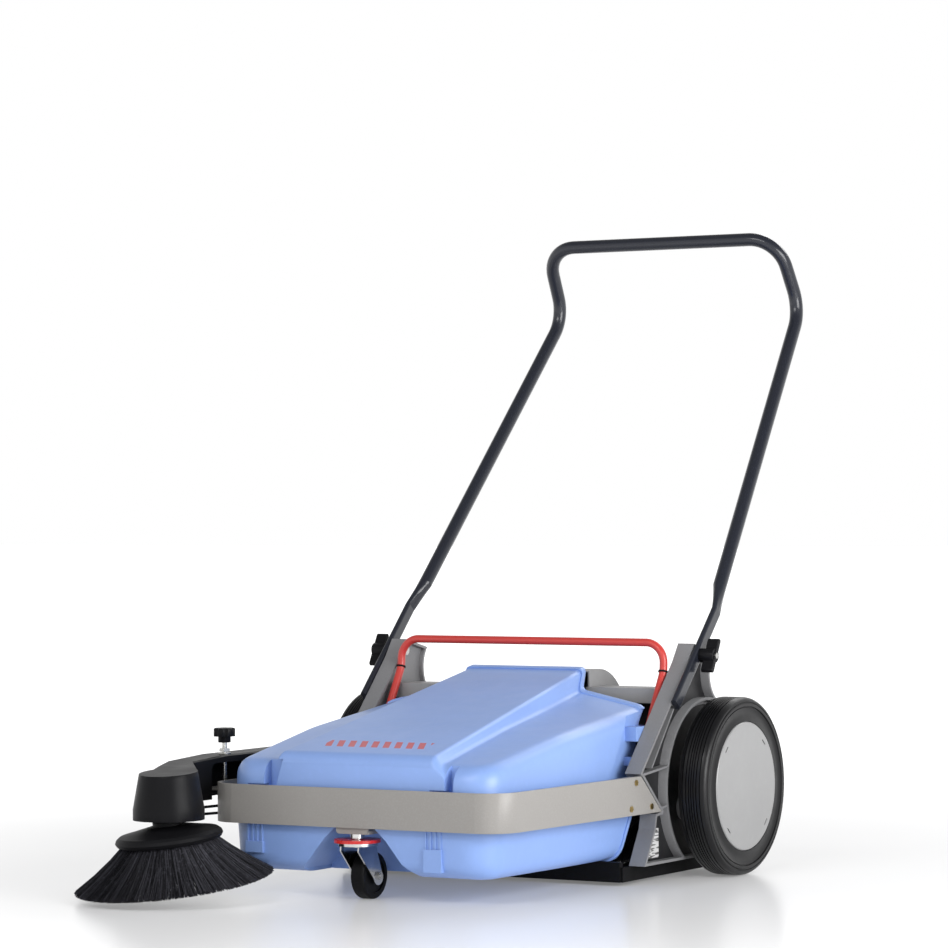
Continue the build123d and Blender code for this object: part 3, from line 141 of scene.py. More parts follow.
class Surface:
    """Builds one node-based finish from layers of noise."""

    def __init__(self, name, base, roughness, metallic=0.0):
        self.material = bpy.data.materials.new(name)
        self.material.use_nodes = True
        self.nodes = self.material.node_tree.nodes
        self.links = self.material.node_tree.links
        self.shader = self.nodes["Principled BSDF"]
        self.shader.inputs["Base Color"].default_value = (*base, 1)
        self.shader.inputs["Roughness"].default_value = roughness
        self.shader.inputs["Metallic"].default_value = metallic
        self.base = base
        self.roughness = roughness
        self.place = self.nodes.new("ShaderNodeTexCoord").outputs["Object"]
        self.colour_out = None
        self.normal_out = None

    @classmethod
    def continued(cls, material):
        """The finish of an existing material, ready for more layers."""
        surface = cls.__new__(cls)
        surface.material = material
        surface.nodes, surface.links = material.node_tree.nodes, material.node_tree.links
        surface.shader = surface.nodes["Principled BSDF"]
        surface.place = surface.nodes["Texture Coordinate"].outputs["Object"]
        surface.colour_out = surface.shader.inputs["Base Color"].links[0].from_socket
        return surface

    def noise(self, scale, detail=3.0, stretch=(1, 1, 1)):
        """Cloudy noise in the object's own space, from 0 to 1."""
        place = self.place
        if stretch != (1, 1, 1):
            mapping = self.nodes.new("ShaderNodeMapping")
            mapping.inputs["Scale"].default_value = stretch
            self.links.new(place, mapping.inputs["Vector"])
            place = mapping.outputs["Vector"]
        texture = self.nodes.new("ShaderNodeTexNoise")
        texture.inputs["Scale"].default_value = scale
        texture.inputs["Detail"].default_value = detail
        self.links.new(place, texture.inputs["Vector"])
        return texture.outputs["Fac"]

    def ramp(self, value, low, high):
        """value spread from low..high to 0..1."""
        node = self.nodes.new("ShaderNodeMapRange")
        node.inputs["From Min"].default_value = low
        node.inputs["From Max"].default_value = high
        self.links.new(value, node.inputs["Value"])
        return node.outputs["Result"]

    def tint(self, value, other, amount=1.0):
        """Mixes another colour over the base where value is high."""
        mix = self.nodes.new("ShaderNodeMix")
        mix.data_type = "RGBA"
        if self.colour_out is None:
            mix.inputs[6].default_value = (*self.base, 1)
        else:
            self.links.new(self.colour_out, mix.inputs[6])
        mix.inputs[7].default_value = (*other, 1)
        scaled = self.nodes.new("ShaderNodeMath")
        scaled.operation = "MULTIPLY"
        scaled.inputs[1].default_value = amount
        scaled.use_clamp = True
        self.links.new(value, scaled.inputs[0])
        self.links.new(scaled.outputs[0], mix.inputs[0])
        self.colour_out = mix.outputs[2]
        self.links.new(self.colour_out, self.shader.inputs["Base Color"])
        return self

    def math(self, operation, value, other, third=None):
        """Result of one arithmetic step on a value."""
        node = self.nodes.new("ShaderNodeMath")
        node.operation = operation
        self.links.new(value, node.inputs[0])
        if isinstance(other, float):
            node.inputs[1].default_value = other
        else:
            self.links.new(other, node.inputs[1])
        if third is not None:
            node.inputs[2].default_value = third
        return node.outputs["Value"]

    def facing_out(self, distance, band):
        """1 on faces square to X that lie at this distance from the middle plane."""
        coordinates = self.place.node
        parts = []
        for source in ("Object", "Normal"):
            split = self.nodes.new("ShaderNodeSeparateXYZ")
            self.links.new(coordinates.outputs[source], split.inputs[0])
            parts.append(self.math("ABSOLUTE", split.outputs["X"], 0.0))
        there = self.math("COMPARE", parts[0], distance, band)
        return self.math("MULTIPLY", there, self.math("GREATER_THAN", parts[1], 0.9))

    def dashes(self, low, high, pitch, lean):
        """1 on a row of slanted dashes along X, inside the box from low to high."""
        split = self.nodes.new("ShaderNodeSeparateXYZ")
        self.links.new(self.place, split.inputs[0])
        slant = self.math("MULTIPLY_ADD", split.outputs["Y"], lean / pitch, 0.0)
        along = self.math("ADD", self.math("MULTIPLY", split.outputs["X"], 1 / pitch), slant)
        mask = self.math("LESS_THAN", self.math("FRACT", along, 0.0), 0.55)
        for axis, a, b in zip("XYZ", low, high):
            inside = self.math("COMPARE", split.outputs[axis], (a + b) / 2, (b - a) / 2)
            mask = self.math("MULTIPLY", mask, inside)
        return mask

    def vary_gloss(self, value, spread):
        """Makes the roughness wander by spread either way."""
        node = self.nodes.new("ShaderNodeMapRange")
        node.inputs["To Min"].default_value = self.roughness - spread
        node.inputs["To Max"].default_value = self.roughness + spread
        self.links.new(value, node.inputs["Value"])
        self.links.new(node.outputs["Result"], self.shader.inputs["Roughness"])
        return self

    def bump(self, value, strength, distance):
        """Adds a fine relief."""
        node = self.nodes.new("ShaderNodeBump")
        node.inputs["Strength"].default_value = strength
        node.inputs["Distance"].default_value = distance
        self.links.new(value, node.inputs["Height"])
        if self.normal_out is not None:
            self.links.new(self.normal_out, node.inputs["Normal"])
        self.normal_out = node.outputs["Normal"]
        self.links.new(self.normal_out, self.shader.inputs["Normal"])
        return self


def scaled(base, factor):
    """The colour made lighter or darker."""
    return tuple(min(1.0, c * factor) for c in base)


def moulded(name, base, roughness=0.38, grain=0.12):
    """Injection-moulded or rotomoulded plastic: slight cloudiness and a fine grain."""
    s = Surface(name, base, roughness)
    cloud = s.noise(7, 4)
    s.tint(s.ramp(cloud, 0.35, 0.7), scaled(base, 0.9), 0.55)
    s.tint(s.ramp(s.noise(90, 2), 0.5, 0.75), scaled(base, 1.08), 0.3)
    s.vary_gloss(s.noise(30, 3), 0.07)
    s.bump(s.noise(900, 2), grain, 0.0003)
    if max(base) < BLACK_LIMIT:
        s.shader.inputs["Specular IOR Level"].default_value = BLACK_SHEEN
    return s.material


def powder(name, base, roughness=0.42, peel=0.14, coat=0.0):
    """Powder coat over steel: orange peel, and a faint change of shade."""
    s = Surface(name, base, roughness)
    s.tint(s.ramp(s.noise(5, 3), 0.35, 0.7), scaled(base, 0.88), 0.5)
    s.tint(s.ramp(s.noise(400, 2), 0.45, 0.7), scaled(base, 1.15), 0.35)
    s.vary_gloss(s.noise(60, 3), 0.06)
    s.bump(s.noise(520, 2), peel, 0.0004)
    s.shader.inputs["Coat Weight"].default_value = coat
    s.shader.inputs["Coat Roughness"].default_value = 0.16
    if max(base) < BLACK_LIMIT:
        s.shader.inputs["Specular IOR Level"].default_value = BLACK_SHEEN
    return s.material


def plated(name, base, roughness=0.28):
    """Plated metal with faint streaks."""
    s = Surface(name, base, roughness, metallic=1.0)
    s.tint(s.ramp(s.noise(40, 4), 0.35, 0.7), scaled(base, 0.72), 0.5)
    s.vary_gloss(s.noise(160, 3), 0.1)
    s.bump(s.noise(700, 2), 0.08, 0.0002)
    return s.material


def rubbery(name, base, roughness=0.62, sheen=BLACK_SHEEN):
    """Rubber with a little bloom and scuffing."""
    s = Surface(name, base, roughness)
    s.tint(s.ramp(s.noise(14, 5), 0.45, 0.75), scaled(base, 2.1), 0.4)
    s.tint(s.ramp(s.noise(160, 3), 0.55, 0.8), scaled(base, 2.6), 0.3)
    s.vary_gloss(s.noise(45, 4), 0.1)
    s.bump(s.noise(600, 3), 0.16, 0.0004)
    s.shader.inputs["Specular IOR Level"].default_value = sheen
    return s.material


def strands(name, base):
    """Nylon bristles: each strand lightened by its own random painted glint, from black to a bright
    painted highlight, with fine specks of painted glint.
    """
    s = Surface(name, base, 0.34)
    shade = s.nodes.new("ShaderNodeAttribute")
    shade.attribute_name = "strand_glint"
    # Painted highlight: each strand is lightened by its glint value, and noise adds fine specks of
    # painted glint
    s.tint(s.ramp(shade.outputs["Fac"], 0.3, 1.0), scaled(base, 7), 0.8)
    s.tint(s.ramp(s.noise(240, 1), 0.55, 0.75), scaled(base, 12), 0.35)
    s.vary_gloss(s.noise(120, 2), 0.1)
    s.bump(s.noise(800, 2), 0.2, 0.0003)
    s.shader.inputs["Specular IOR Level"].default_value = BLACK_SHEEN
    return s.material


def wooden(name, base):
    """Bare wood, grained along X."""
    s = Surface(name, base, 0.6)
    s.tint(s.ramp(s.noise(60, 4, (0.1, 1, 1)), 0.4, 0.65), scaled(base, 0.6), 0.8)
    s.bump(s.noise(200, 3, (0.1, 1, 1)), 0.2, 0.0004)
    return s.material


def paint(node, material):
    """Gives a carried-over CAD node its finish."""
    mesh = NODES[node].data
    mesh.materials.clear()
    mesh.materials.append(material)


def soften(node, width=None, angle=35):
    """Rounds the sharp edges of a carried-over CAD node with modifiers alone."""
    thing = NODES[node]
    weld = thing.modifiers.new("weld", "WELD")
    weld.merge_threshold = 1e-5
    flat = thing.modifiers.new("flatten", "DECIMATE")
    flat.decimate_type = "DISSOLVE"
    flat.angle_limit = radians(0.5)
    bevel = thing.modifiers.new("edges", "BEVEL")
    bevel.width = sizes().edge if width is None else width
    bevel.segments = 2
    bevel.limit_method = "ANGLE"
    bevel.angle_limit = radians(angle)
    bevel.harden_normals = True


# ---- Shapes -------------------------------------------------------------------------------------


def piece(name, points, faces, material=None):
    """A mesh object in the scene, from points in metres."""
    mesh = bpy.data.meshes.new(name)
    mesh.from_pydata([tuple(p) for p in points], [], [tuple(f) for f in faces])
    mesh.update()
    thing = bpy.data.objects.new(name, mesh)
    bpy.context.scene.collection.objects.link(thing)
    if material is not None:
        mesh.materials.append(material)
    return thing


def smooth_by_angle(thing, limit):
    """Smooth shading, with edges sharper than limit degrees left crisp."""
    form = bmesh.new()
    form.from_mesh(thing.data)
    bmesh.ops.recalc_face_normals(form, faces=form.faces)
    for face in form.faces:
        face.smooth = True
    for edge in form.edges:
        edge.smooth = len(edge.link_faces) == 2 and edge.calc_face_angle(pi) < radians(limit)
    form.to_mesh(thing.data)
    form.free()


def prism(name, outline, near, far, place):
    """Closed prism of a flat outline between two depths; place(u, v, depth) gives its points."""
    count = len(outline)
    points = [place(u, v, depth) for depth in (near, far) for u, v in outline]
    sides = [(k, (k + 1) % count, count + (k + 1) % count, count + k) for k in range(count)]
    thing = piece(name, points, [*sides, tuple(range(count))[::-1], tuple(range(count, 2 * count))])
    form = bmesh.new()
    form.from_mesh(thing.data)
    bmesh.ops.recalc_face_normals(form, faces=form.faces)
    form.to_mesh(thing.data)
    form.free()
    return thing


def across(u, v, depth):
    """Outline in y and z, depth along x; millimetres in, metres out."""
    return (depth * MM, u * MM, v * MM)


def lengthwise(u, v, depth):
    """Outline in x and z, depth along y."""
    return (u * MM, depth * MM, v * MM)


def carve(thing, tools, operation="DIFFERENCE"):
    """Cuts tools out of a solid, or joins them to it, and removes the tools."""
    for tool in tools:
        step = thing.modifiers.new("carve", "BOOLEAN")
        step.operation = operation
        step.solver = "EXACT"
        step.object = tool
        made = bpy.data.meshes.new_from_object(
            thing.evaluated_get(bpy.context.evaluated_depsgraph_get())
        )
        thing.modifiers.remove(step)
        old, thing.data = thing.data, made
        bpy.data.meshes.remove(old)
        bpy.data.meshes.remove(tool.data)


def rounded_path(corners, steps):
    """Polyline of (x, z, radius) corners with each corner turned into a curve of equal step count."""
    points = []
    for index, (x, z, radius) in enumerate(corners):
        here = Vector((x, z))
        if index in (0, len(corners) - 1):
            points.append(here)
            continue
        back = Vector(corners[index - 1][:2]) - here
        ahead = Vector(corners[index + 1][:2]) - here
        reach = min(radius / tan(back.angle(ahead) / 2), 0.49 * back.length, 0.49 * ahead.length)
        start, end = here + back.normalized() * reach, here + ahead.normalized() * reach
        for step in range(steps + 1):
            t = step / steps
            points.append(start * (1 - t) ** 2 + here * (2 * t * (1 - t)) + end * t * t)
    return points


def turned(name, outline, centre, segments, material, limit=30):
    """Ring turned about the X axis through centre, from a closed outline of (x, radius) in mm."""
    count = len(outline)
    points = []
    for k in range(segments):
        angle = 2 * pi * k / segments
        for x, r in outline:
            points.append(
                (x * MM, centre[0] * MM + r * MM * cos(angle), centre[1] * MM + r * MM * sin(angle))
            )
    faces = []
    for k in range(segments):
        a, b = k * count, ((k + 1) % segments) * count
        for n in range(count):
            m = (n + 1) % count
            faces.append((a + n, a + m, b + m, b + n))
    thing = piece(name, points, faces, material)
    smooth_by_angle(thing, limit)
    return thing


def bristle_mesh(name, spines, radius, material, painted_glints):
    """Three-sided tapering strands; spines is an array of strands by points by xyz, in metres."""
    count, knots, _ = spines.shape
    heading = spines[:, -1] - spines[:, 0]
    heading /= np.linalg.norm(heading, axis=1)[:, None]
    helper = np.where(np.abs(heading[:, 2:3]) > 0.9, [[1.0, 0, 0]], [[0, 0, 1.0]])
    side = np.cross(heading, helper)
    side /= np.linalg.norm(side, axis=1)[:, None]
    other = np.cross(heading, side)
    taper = np.linspace(1.0, 0.7, knots)
    rings = []
    for corner in range(3):
        angle = 2 * pi * corner / 3
        offset = side * cos(angle) + other * sin(angle)
        rings.append(spines + radius * taper[None, :, None] * offset[:, None, :])
    points = np.stack(rings, axis=2).reshape(-1, 3)
    faces = []
    for strand in range(count):
        base = strand * knots * 3
        for knot in range(knots - 1):
            low = base + knot * 3
            for corner in range(3):
                nxt = (corner + 1) % 3
                faces.append((low + corner, low + nxt, low + 3 + nxt, low + 3 + corner))
        faces.append((base, base + 2, base + 1))
        top = base + (knots - 1) * 3
        faces.append((top, top + 1, top + 2))
    thing = piece(name, points.tolist(), faces, material)
    # Each strand's painted glint value, which the strands finish uses to lighten that strand
    shade = thing.data.attributes.new("strand_glint", "FLOAT", "POINT")
    shade.data.foreach_set("value", np.repeat(painted_glints, knots * 3).astype(np.float32))
    return thing


def arc_through(first, middle, last, steps=24):
    """Points of the arc from first to last through middle."""
    (ax, ay), (bx, by), (cx, cy) = first, middle, last
    d = 2 * (ax * (by - cy) + bx * (cy - ay) + cx * (ay - by))
    a2, b2, c2 = ax * ax + ay * ay, bx * bx + by * by, cx * cx + cy * cy
    ox = (a2 * (by - cy) + b2 * (cy - ay) + c2 * (ay - by)) / d
    oy = (a2 * (cx - bx) + b2 * (ax - cx) + c2 * (bx - ax)) / d
    radius = sqrt((ax - ox) ** 2 + (ay - oy) ** 2)
    start, end = atan2(ay - oy, ax - ox), atan2(cy - oy, cx - ox)
    angles = [start + (end - start) * k / steps for k in range(steps + 1)]
    return [(ox + radius * cos(a), oy + radius * sin(a)) for a in angles]


def hood_skin(material):
    """Hood over the roller brush, with its hump behind the hopper's deck."""
    half, hump_half, wall = 271.6, 118, 3
    outer = [(-87, 291), (-87, 316), *arc_through((-30, 316), (64, 270), (107, 175)), (111, 60)]
    inner = [(-84, 291), (-84, 313), *arc_through((-30, 313), (62, 268), (104, 175)), (108, 60)]
    hood = prism("hood_skin", outer + inner[::-1], -half, half, across)
    flange = [*inner[:-1], (84, 175), (40, 262), (-30, 291)]
    parts = [prism("flange", flange, side * (half - wall), side * half, across) for side in (-1, 1)]
    hump = [(-80, 300), (-80, 343), *arc_through((-52, 345), (6, 329), (42, 288))]
    parts.append(prism("hump", hump, -hump_half, hump_half, across))
    carve(hood, parts, "UNION")
    hollow = [(-100, 292), (-100, 340), *arc_through((-52, 342), (4, 326.5), (38, 292))]
    carve(hood, [prism("hollow", hollow, wall - hump_half, hump_half - wall, across)])
    hood.data.materials.clear()
    hood.data.materials.append(material)
    smooth_by_angle(hood, 30)
    return hood


# ---- Hopper form --------------------------------------------------------------------------------
HOPPER_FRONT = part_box("hopper_shell")[0].y / MM + 5.0
HOPPER_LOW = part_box("hopper_shell")[0].z / MM
MOUTH = ((43, -228), (108, -193), (262, -148), (340, -87), (420, -87))


def between(value, stops):
    """Straight-line interpolation through (place, value) stops, carried on past the ends."""
    for (a, va), (b, vb) in zip(stops, stops[1:]):
        if value <= b or (b, vb) == stops[-1]:
            return va + (vb - va) * (value - a) / (b - a)


def rounding(depth, radius):
    """How far a rounded edge of this radius stands in, at a depth behind its face."""
    if depth >= radius:
        return 0.0
    return radius - sqrt(max(0.0, radius**2 - (radius - max(depth, 0)) ** 2))


def hopper_profile(y, grow):
    """Right half of the hopper's cross-section at y, from the bottom's middle to the deck's."""
    depth = y - HOPPER_FRONT + grow
    half = between(y, ((-595, 252), (-394, 260), (-60, 262.0))) - rounding(depth, 50) + grow
    crest = between(y, ((-595, 222), (-394, 257), (-60, 292))) - rounding(depth, 30) + grow
    inner = between(y, ((-595, 225), (-394, 263), (-60, 319))) - rounding(depth, 26) + grow
    low = HOPPER_LOW + rounding(depth, 46) * 0.55 - grow
    deck_top = between(y, ((-622, 235), (-60, 353.5))) - rounding(depth, 15) + grow
    deck_half = between(y, ((-636, 145), (-60, 110))) + grow
    foot_half = between(y, ((-636, 180), (-60, 134))) + grow
    foot_low = between(y, ((-636, 188), (-60, 200))) + grow
    # The deck's side meets the shoulder where the two slants cross
    side_slope = (deck_half - foot_half) / (deck_top - foot_low)
    shoulder_slope = (inner - crest) / (120 - half)
    foot_x = (foot_half + side_slope * (crest - shoulder_slope * half - foot_low)) / (
        1 - side_slope * shoulder_slope
    )
    foot_z = crest + shoulder_slope * (foot_x - half)
    corners = [
        (0, low, 0),
        (half - 8, low, 30),
        (half, low + 95, 80),
        (half, crest, 34),
        (foot_x, foot_z, 12),
        (deck_half, deck_top, 10),
        (0, deck_top, 0),
    ]
    return rounded_path(corners, 6)


def hopper_solid(name, stations, past_mouth):
    """Closed solid through the stations of (nominal y, grow), ending past the slanted mouth."""
    sheared_from, nominal_end = -330.0, -60.0
    loops = []
    for nominal, grow in stations:
        first = hopper_profile(nominal, grow)
        right = []
        for index, point in enumerate(first):
            y, z = nominal, point.y
            if nominal > sheared_from:
                share = (nominal - sheared_from) / (nominal_end - sheared_from)
                for _ in range(3):
                    mouth = between(z, MOUTH) + past_mouth
                    y = sheared_from + share * (mouth - sheared_from)
                    z = hopper_profile(y, grow)[index].y
            x = hopper_profile(y, grow)[index].x
            right.append((x * MM, y * MM, z * MM))
        loops.append(right)
    half = len(loops[0])
    points = []
    for right in loops:
        points += right + [(-x, y, z) for x, y, z in right[-2:0:-1]]
    around = 2 * half - 2
    faces = []
    for station in range(len(loops) - 1):
        a, b = station * around, (station + 1) * around
        for k in range(around):
            n = (k + 1) % around
            faces.append((a + k, a + n, b + n, b + k))
    for start in (0, (len(loops) - 1) * around):
        for k in range(half - 1):
            over, back = (around - k - 1) % around, (around - k) % around
            strip = [start + k, start + k + 1, start + over, start + back]
            faces.append(tuple(dict.fromkeys(strip)))
    thing = piece(name, points, faces)
    form = bmesh.new()
    form.from_mesh(thing.data)
    bmesh.ops.recalc_face_normals(form, faces=form.faces)
    form.to_mesh(thing.data)
    form.free()
    return thing


def pocket_tool(name, side, grow):
    """Side recess for the bail's leg, tapered at its front edge."""
    deep, shallow = 250 - grow, 268
    inner = [(-186, 283), (-249, 191), (-276, 150), (-262, 134), (-30, 134), (-30, 283)]
    outer = [(-204, 297), (-267, 191), (-296, 150), (-272, 118), (-30, 118), (-30, 297)]
    inner = [(y - grow, z + (grow if z > 200 else -grow)) for y, z in inner]
    outer = [(y - grow, z + (grow if z > 200 else -grow)) for y, z in outer]
    count = len(inner)
    points = [across(y, z, side * deep) for y, z in inner]
    points += [across(y, z, side * x) for x in (shallow, 300) for y, z in outer]
    faces = [tuple(range(count)), tuple(range(2 * count, 3 * count))]
    for layer in range(2):
        for k in range(count):
            n = (k + 1) % count
            low, high = layer * count, (layer + 1) * count
            faces.append((low + k, low + n, high + n, high + k))
    thing = piece(name, points, faces)
    form = bmesh.new()
    form.from_mesh(thing.data)
    bmesh.ops.recalc_face_normals(form, faces=form.faces)
    form.to_mesh(thing.data)
    form.free()
    return thing


def box_at(name, low, high):
    """Box between two corners in mm."""
    outline = [(low[1], low[2]), (high[1], low[2]), (high[1], high[2]), (low[1], high[2])]
    return prism(name, outline, low[0], high[0], across)


def lug_outline(y, z, radius, tail):
    """Outline in y and z of a lug with a round end at (y, z), reaching forward to tail."""
    arc = [(y + radius * sin(a), z - radius * cos(a)) for a in (pi * k / 12 for k in range(13))]
    return [(tail, z - radius), *arc, (tail, z + radius)]


def hopper_fittings():
    """Lugs, small rests, front blocks and ribs that stand proud of the shell."""
    added = []
    for side in (-1, 1):
        outline = lug_outline(-138, 246, 12, -195)
        lug = prism("lug", outline, side * 246.3, side * 271, across)
        slot = [(-176, 262), (-154, 237.8), (-120, 237.8), (-120, 262)]
        carve(lug, [prism("slot", slot, side * 254.4, side * 268.6, across)])
        outline = lug_outline(-191, 201, 7, -200)
        added += [lug, prism("rest", outline, side * 247.3, side * 266, across)]
    for middle, low in ((-191.5, 70), (148, 52)):
        near, far = HOPPER_FRONT - 4.4, HOPPER_FRONT + 12
        added.append(box_at("block", (middle - 16.5, near, low), (middle + 16.5, far, 88)))
        for rib in range(4):
            x = middle - 13.5 + 9 * rib
            near, far = HOPPER_FRONT - 2.4, HOPPER_FRONT + 3
            added.append(box_at("rib", (x - 1.2, near, 87), (x + 1.2, far, 117)))
    return added


def hopper_tools(grow):
    """What is cut from the hopper's outside (grow 0) or kept clear inside it (grow = wall)."""
    tools = [pocket_tool(f"pocket_{side}", side, grow) for side in (-1, 1)]
    half_arch = [(34, 119), (58, 98), (88, 62), (107, 46), (110, 20)]
    arch = [(-x, z) for x, z in reversed(half_arch)] + half_arch
    arch = [(x + (grow if x > 0 else -grow), z + (grow if z > 30 else 0)) for x, z in arch]
    tools.append(prism("arch", arch, HOPPER_FRONT - 30, -540 + grow, lengthwise))
    # Recesses beside the front panel, and the gaps under the blocks next to them
    for a, b, c, d in ((-174, -151, -137, -174), (169, 185, 185, 169)):
        low, high = 177 - grow, 222 + grow
        recess = [(a - grow, low), (b + grow, low), (c + grow, high), (d - grow, high)]
        tools.append(prism("recess", recess, HOPPER_FRONT - 20, HOPPER_FRONT + 22 + grow, lengthwise))
    for left, right in ((-206, -173), (141, 170)):
        low, high = 174 - grow, 181 + grow
        gap = [(left - grow, low), (right + grow, low), (right + grow, high), (left - grow, high)]
        tools.append(prism("gap", gap, HOPPER_FRONT - 20, HOPPER_FRONT + 14 + grow, lengthwise))
    return tools


# ---- Operators ----------------------------------------------------------------------------------


class SweeperOperator:
    """Shared settings of the sweeper's operators."""

    bl_options = {"REGISTER", "UNDO"}


class SWEEPER_OT_chassis(SweeperOperator, bpy.types.Operator):
    """Finish the bumper band, side frames, hood, sill, lips and small chassis pieces"""

    bl_idname = "sweeper.chassis"
    bl_label = "Chassis finishes"

    def execute(self, context):
        look = finishes()
        band = powder("band_coat", look.band, 0.40)
        side = powder("frame_coat_and_web_shade", look.frame, 0.45)
        # Painted shade: the web's outer face is tinted almost black with the black plastic colour,
        # standing in for the shade that falls on it
        web_shade = Surface.continued(side)
        web_shade.tint(web_shade.facing_out(SHADED_WEB_FACE, SHADED_WEB_BAND), look.plastic, 0.97)
        zinc = plated("chassis_zinc", look.zinc)
        rubber = rubbery("lip_rubber", look.rubber)
        for node in ("bumper_band", "caster_bracket", "rod_bracket"):
            paint(node, band)
        for node in ("side_frame_left", "side_frame_right", "cross_tube"):
            paint(node, side)
        cover = hood_skin(moulded("hood_plastic", look.hood, 0.45))
        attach(cover, "chassis")
        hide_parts("roller_hood")
        paint("chamber_sill", moulded("sill_plastic", look.plastic, 0.5))
        for node in ("front_lip", "rear_lip", "side_lips"):
            paint(node, rubber)
        for node in ("stub_axles", "axle_clips", "handle_bolts"):
            paint(node, zinc)
        label = Surface("plate_print", (0.62, 0.62, 0.62), 0.4)
        rows = label.ramp(label.noise(60, 0, (1, 0.9, 5.5)), 0.55, 0.57)
        label.tint(rows, (0.03, 0.03, 0.03), 0.85)
        label.bump(label.noise(500, 2), 0.05, 0.0002)
        paint("rating_plate", label.material)
        paint("band_screws", plated("screw_brass", look.brass, 0.3))
        paint("roller_bushes", moulded("bush_nylon", look.nylon, 0.45))
        for node in ("side_frame_left", "side_frame_right", "bumper_band", "chamber_sill"):
            soften(node)
        return {"FINISHED"}


class SWEEPER_OT_wheels(SweeperOperator, bpy.types.Operator):
    """Finish the road wheels and their ring gear"""

    bl_idname = "sweeper.wheels"
    bl_label = "Road wheels"

    def execute(self, context):
        look = finishes()
        tyre = rubbery("tyre_rubber", look.rubber, 0.36, 0.3)
        rim = moulded("rim_plastic", look.rim, 0.35)
        disc = moulded("disc_plastic", look.disc, 0.33)
        nylon = moulded("wheel_nylon", look.nylon, 0.45)
        # Outline of the left tyre: outer side wall with its rings, shoulder, ribbed tread, inner wall
        wall = [
            (373.6, 108.4), (374.6, 109.4), (374.2, 112.0), (372.6, 117.0), (372.0, 123.0),
            (372.8, 129.0), (374.2, 132.2), (372.9, 133.0), (372.9, 134.0), (374.9, 134.8),
            (375.4, 137.4), (374.8, 139.6), (373.4, 140.4), (373.4, 141.2), (374.6, 142.0),
            (374.2, 145.0), (372.4, 147.4), (369.6, 149.0), (366.6, 149.6),
        ]
        tread = []
        for groove in (364.5, 358.0, 352.8, 348.5, 344.2, 339.0, 332.5):
            for x, radius in ((0.9, 149.9), (0.7, 147.7), (-0.7, 147.7), (-0.9, 149.9)):
                tread.append((groove + x, radius))
        inner_wall = [
            (329.4, 149.6), (326.0, 148.6), (323.2, 146.2), (322.0, 142.0), (321.4, 134.0),
            (322.6, 124.0), (325.0, 114.0), (327.0, 112.0), (332.0, 111.2), (366.0, 111.2),
        ]
        outline = wall + tread + inner_wall
        for hand, side in (("left", 1), ("right", -1)):
            shell = turned(
                f"tyre_rubber_{hand}", [(side * x, r) for x, r in outline], (0, 150), 192, tyre, 28
            )
            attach(shell, f"wheel_{hand}")
            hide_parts(f"tyre_{hand}")
            paint(f"rim_{hand}", rim)
            paint(f"hub_disc_{hand}", disc)
            paint(f"hub_bush_{hand}", nylon)
        paint("ring_gear", nylon)
        return {"FINISHED"}


class SWEEPER_OT_roller(SweeperOperator, bpy.types.Operator):
    """Finish the roller brush and its drive"""

    bl_idname = "sweeper.roller"
    bl_label = "Roller brush"

    def execute(self, context):
        look = finishes()
        paint("roller_shaft", plated("shaft_zinc", look.zinc))
        paint("roller_core", wooden("core_wood", (0.16, 0.09, 0.045)))
        low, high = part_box("roller_bristles")
        axis_y, axis_z = (low.y + high.y) / 2, (low.z + high.z) / 2
        reach = (high.z - low.z) / 2 - 0.6 * MM
        draw = np.random.default_rng(7)
        size = sizes()
        rows, tufts = size.roller_rows, size.roller_tufts
        root = 37.5 * MM
        spines = []
        for row in range(rows):
            for tuft in range(tufts):
                along = low.x + 6 * MM + (high.x - low.x - 12 * MM) * (tuft + 0.5) / tufts
                turn = 2 * pi * row / rows + 1.6 * abs(along) / high.x
                for _ in range(size.roller_each):
                    lean, skew = draw.normal(0, 0.028), draw.normal(0, 0.0022)
                    tip = reach - abs(draw.normal(0, 1.2 * MM))
                    knots = []
                    for share in (0.0, 0.5, 1.0):
                        r = root + (tip - root) * share
                        a = turn + lean * share
                        x = along + skew * (0.6 + share)
                        knots.append((x, axis_y + r * cos(a), axis_z + r * sin(a)))
                    spines.append(knots)
        spines = np.array(spines)
        spines[:, :, 0] = np.clip(spines[:, :, 0], low.x + 1 * MM, high.x - 1 * MM)
        nylon = strands("roller_strand", look.bristle)
        # Random painted glint value of each strand
        painted_glints = draw.random(len(spines))
        drum = bristle_mesh("roller_strands", spines, size.roller_strand, nylon, painted_glints)
        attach(drum, "roller")
        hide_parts("roller_bristles")
        paint("roller_pinion", moulded("pinion_nylon", look.nylon, 0.45))
        paint("roller_pulley", moulded("pulley_plastic", look.plastic, 0.45))
        return {"FINISHED"}


class SWEEPER_OT_brush_arm(SweeperOperator, bpy.types.Operator):
    """Finish the side brush's arm, belt drive and height adjuster"""

    bl_idname = "sweeper.brush_arm"
    bl_label = "Brush arm"

    def execute(self, context):
        look = finishes()
        zinc = plated("arm_zinc", look.zinc)
        black = moulded("arm_plastic", look.plastic, 0.40, grain=0.2)
        nylon = moulded("sheave_nylon", look.nylon, 0.45)
        paint("brush_arm_cover", black)
        paint("adjuster_knob", moulded("knob_plastic", look.plastic, 0.38))
        paint("drive_belt", rubbery("belt_rubber", scaled(look.rubber, 1.6), 0.5))
        for node in ("arm_plate", "brush_spindle", "idler_pin", "adjuster_rod", "lock_nut", "brush_nut"):
            paint(node, zinc)
        for node in ("idler_upper", "idler_lower"):
            paint(node, nylon)
        soften("brush_arm_cover", sizes().cover_edge)
        soften("adjuster_knob")
        return {"FINISHED"}


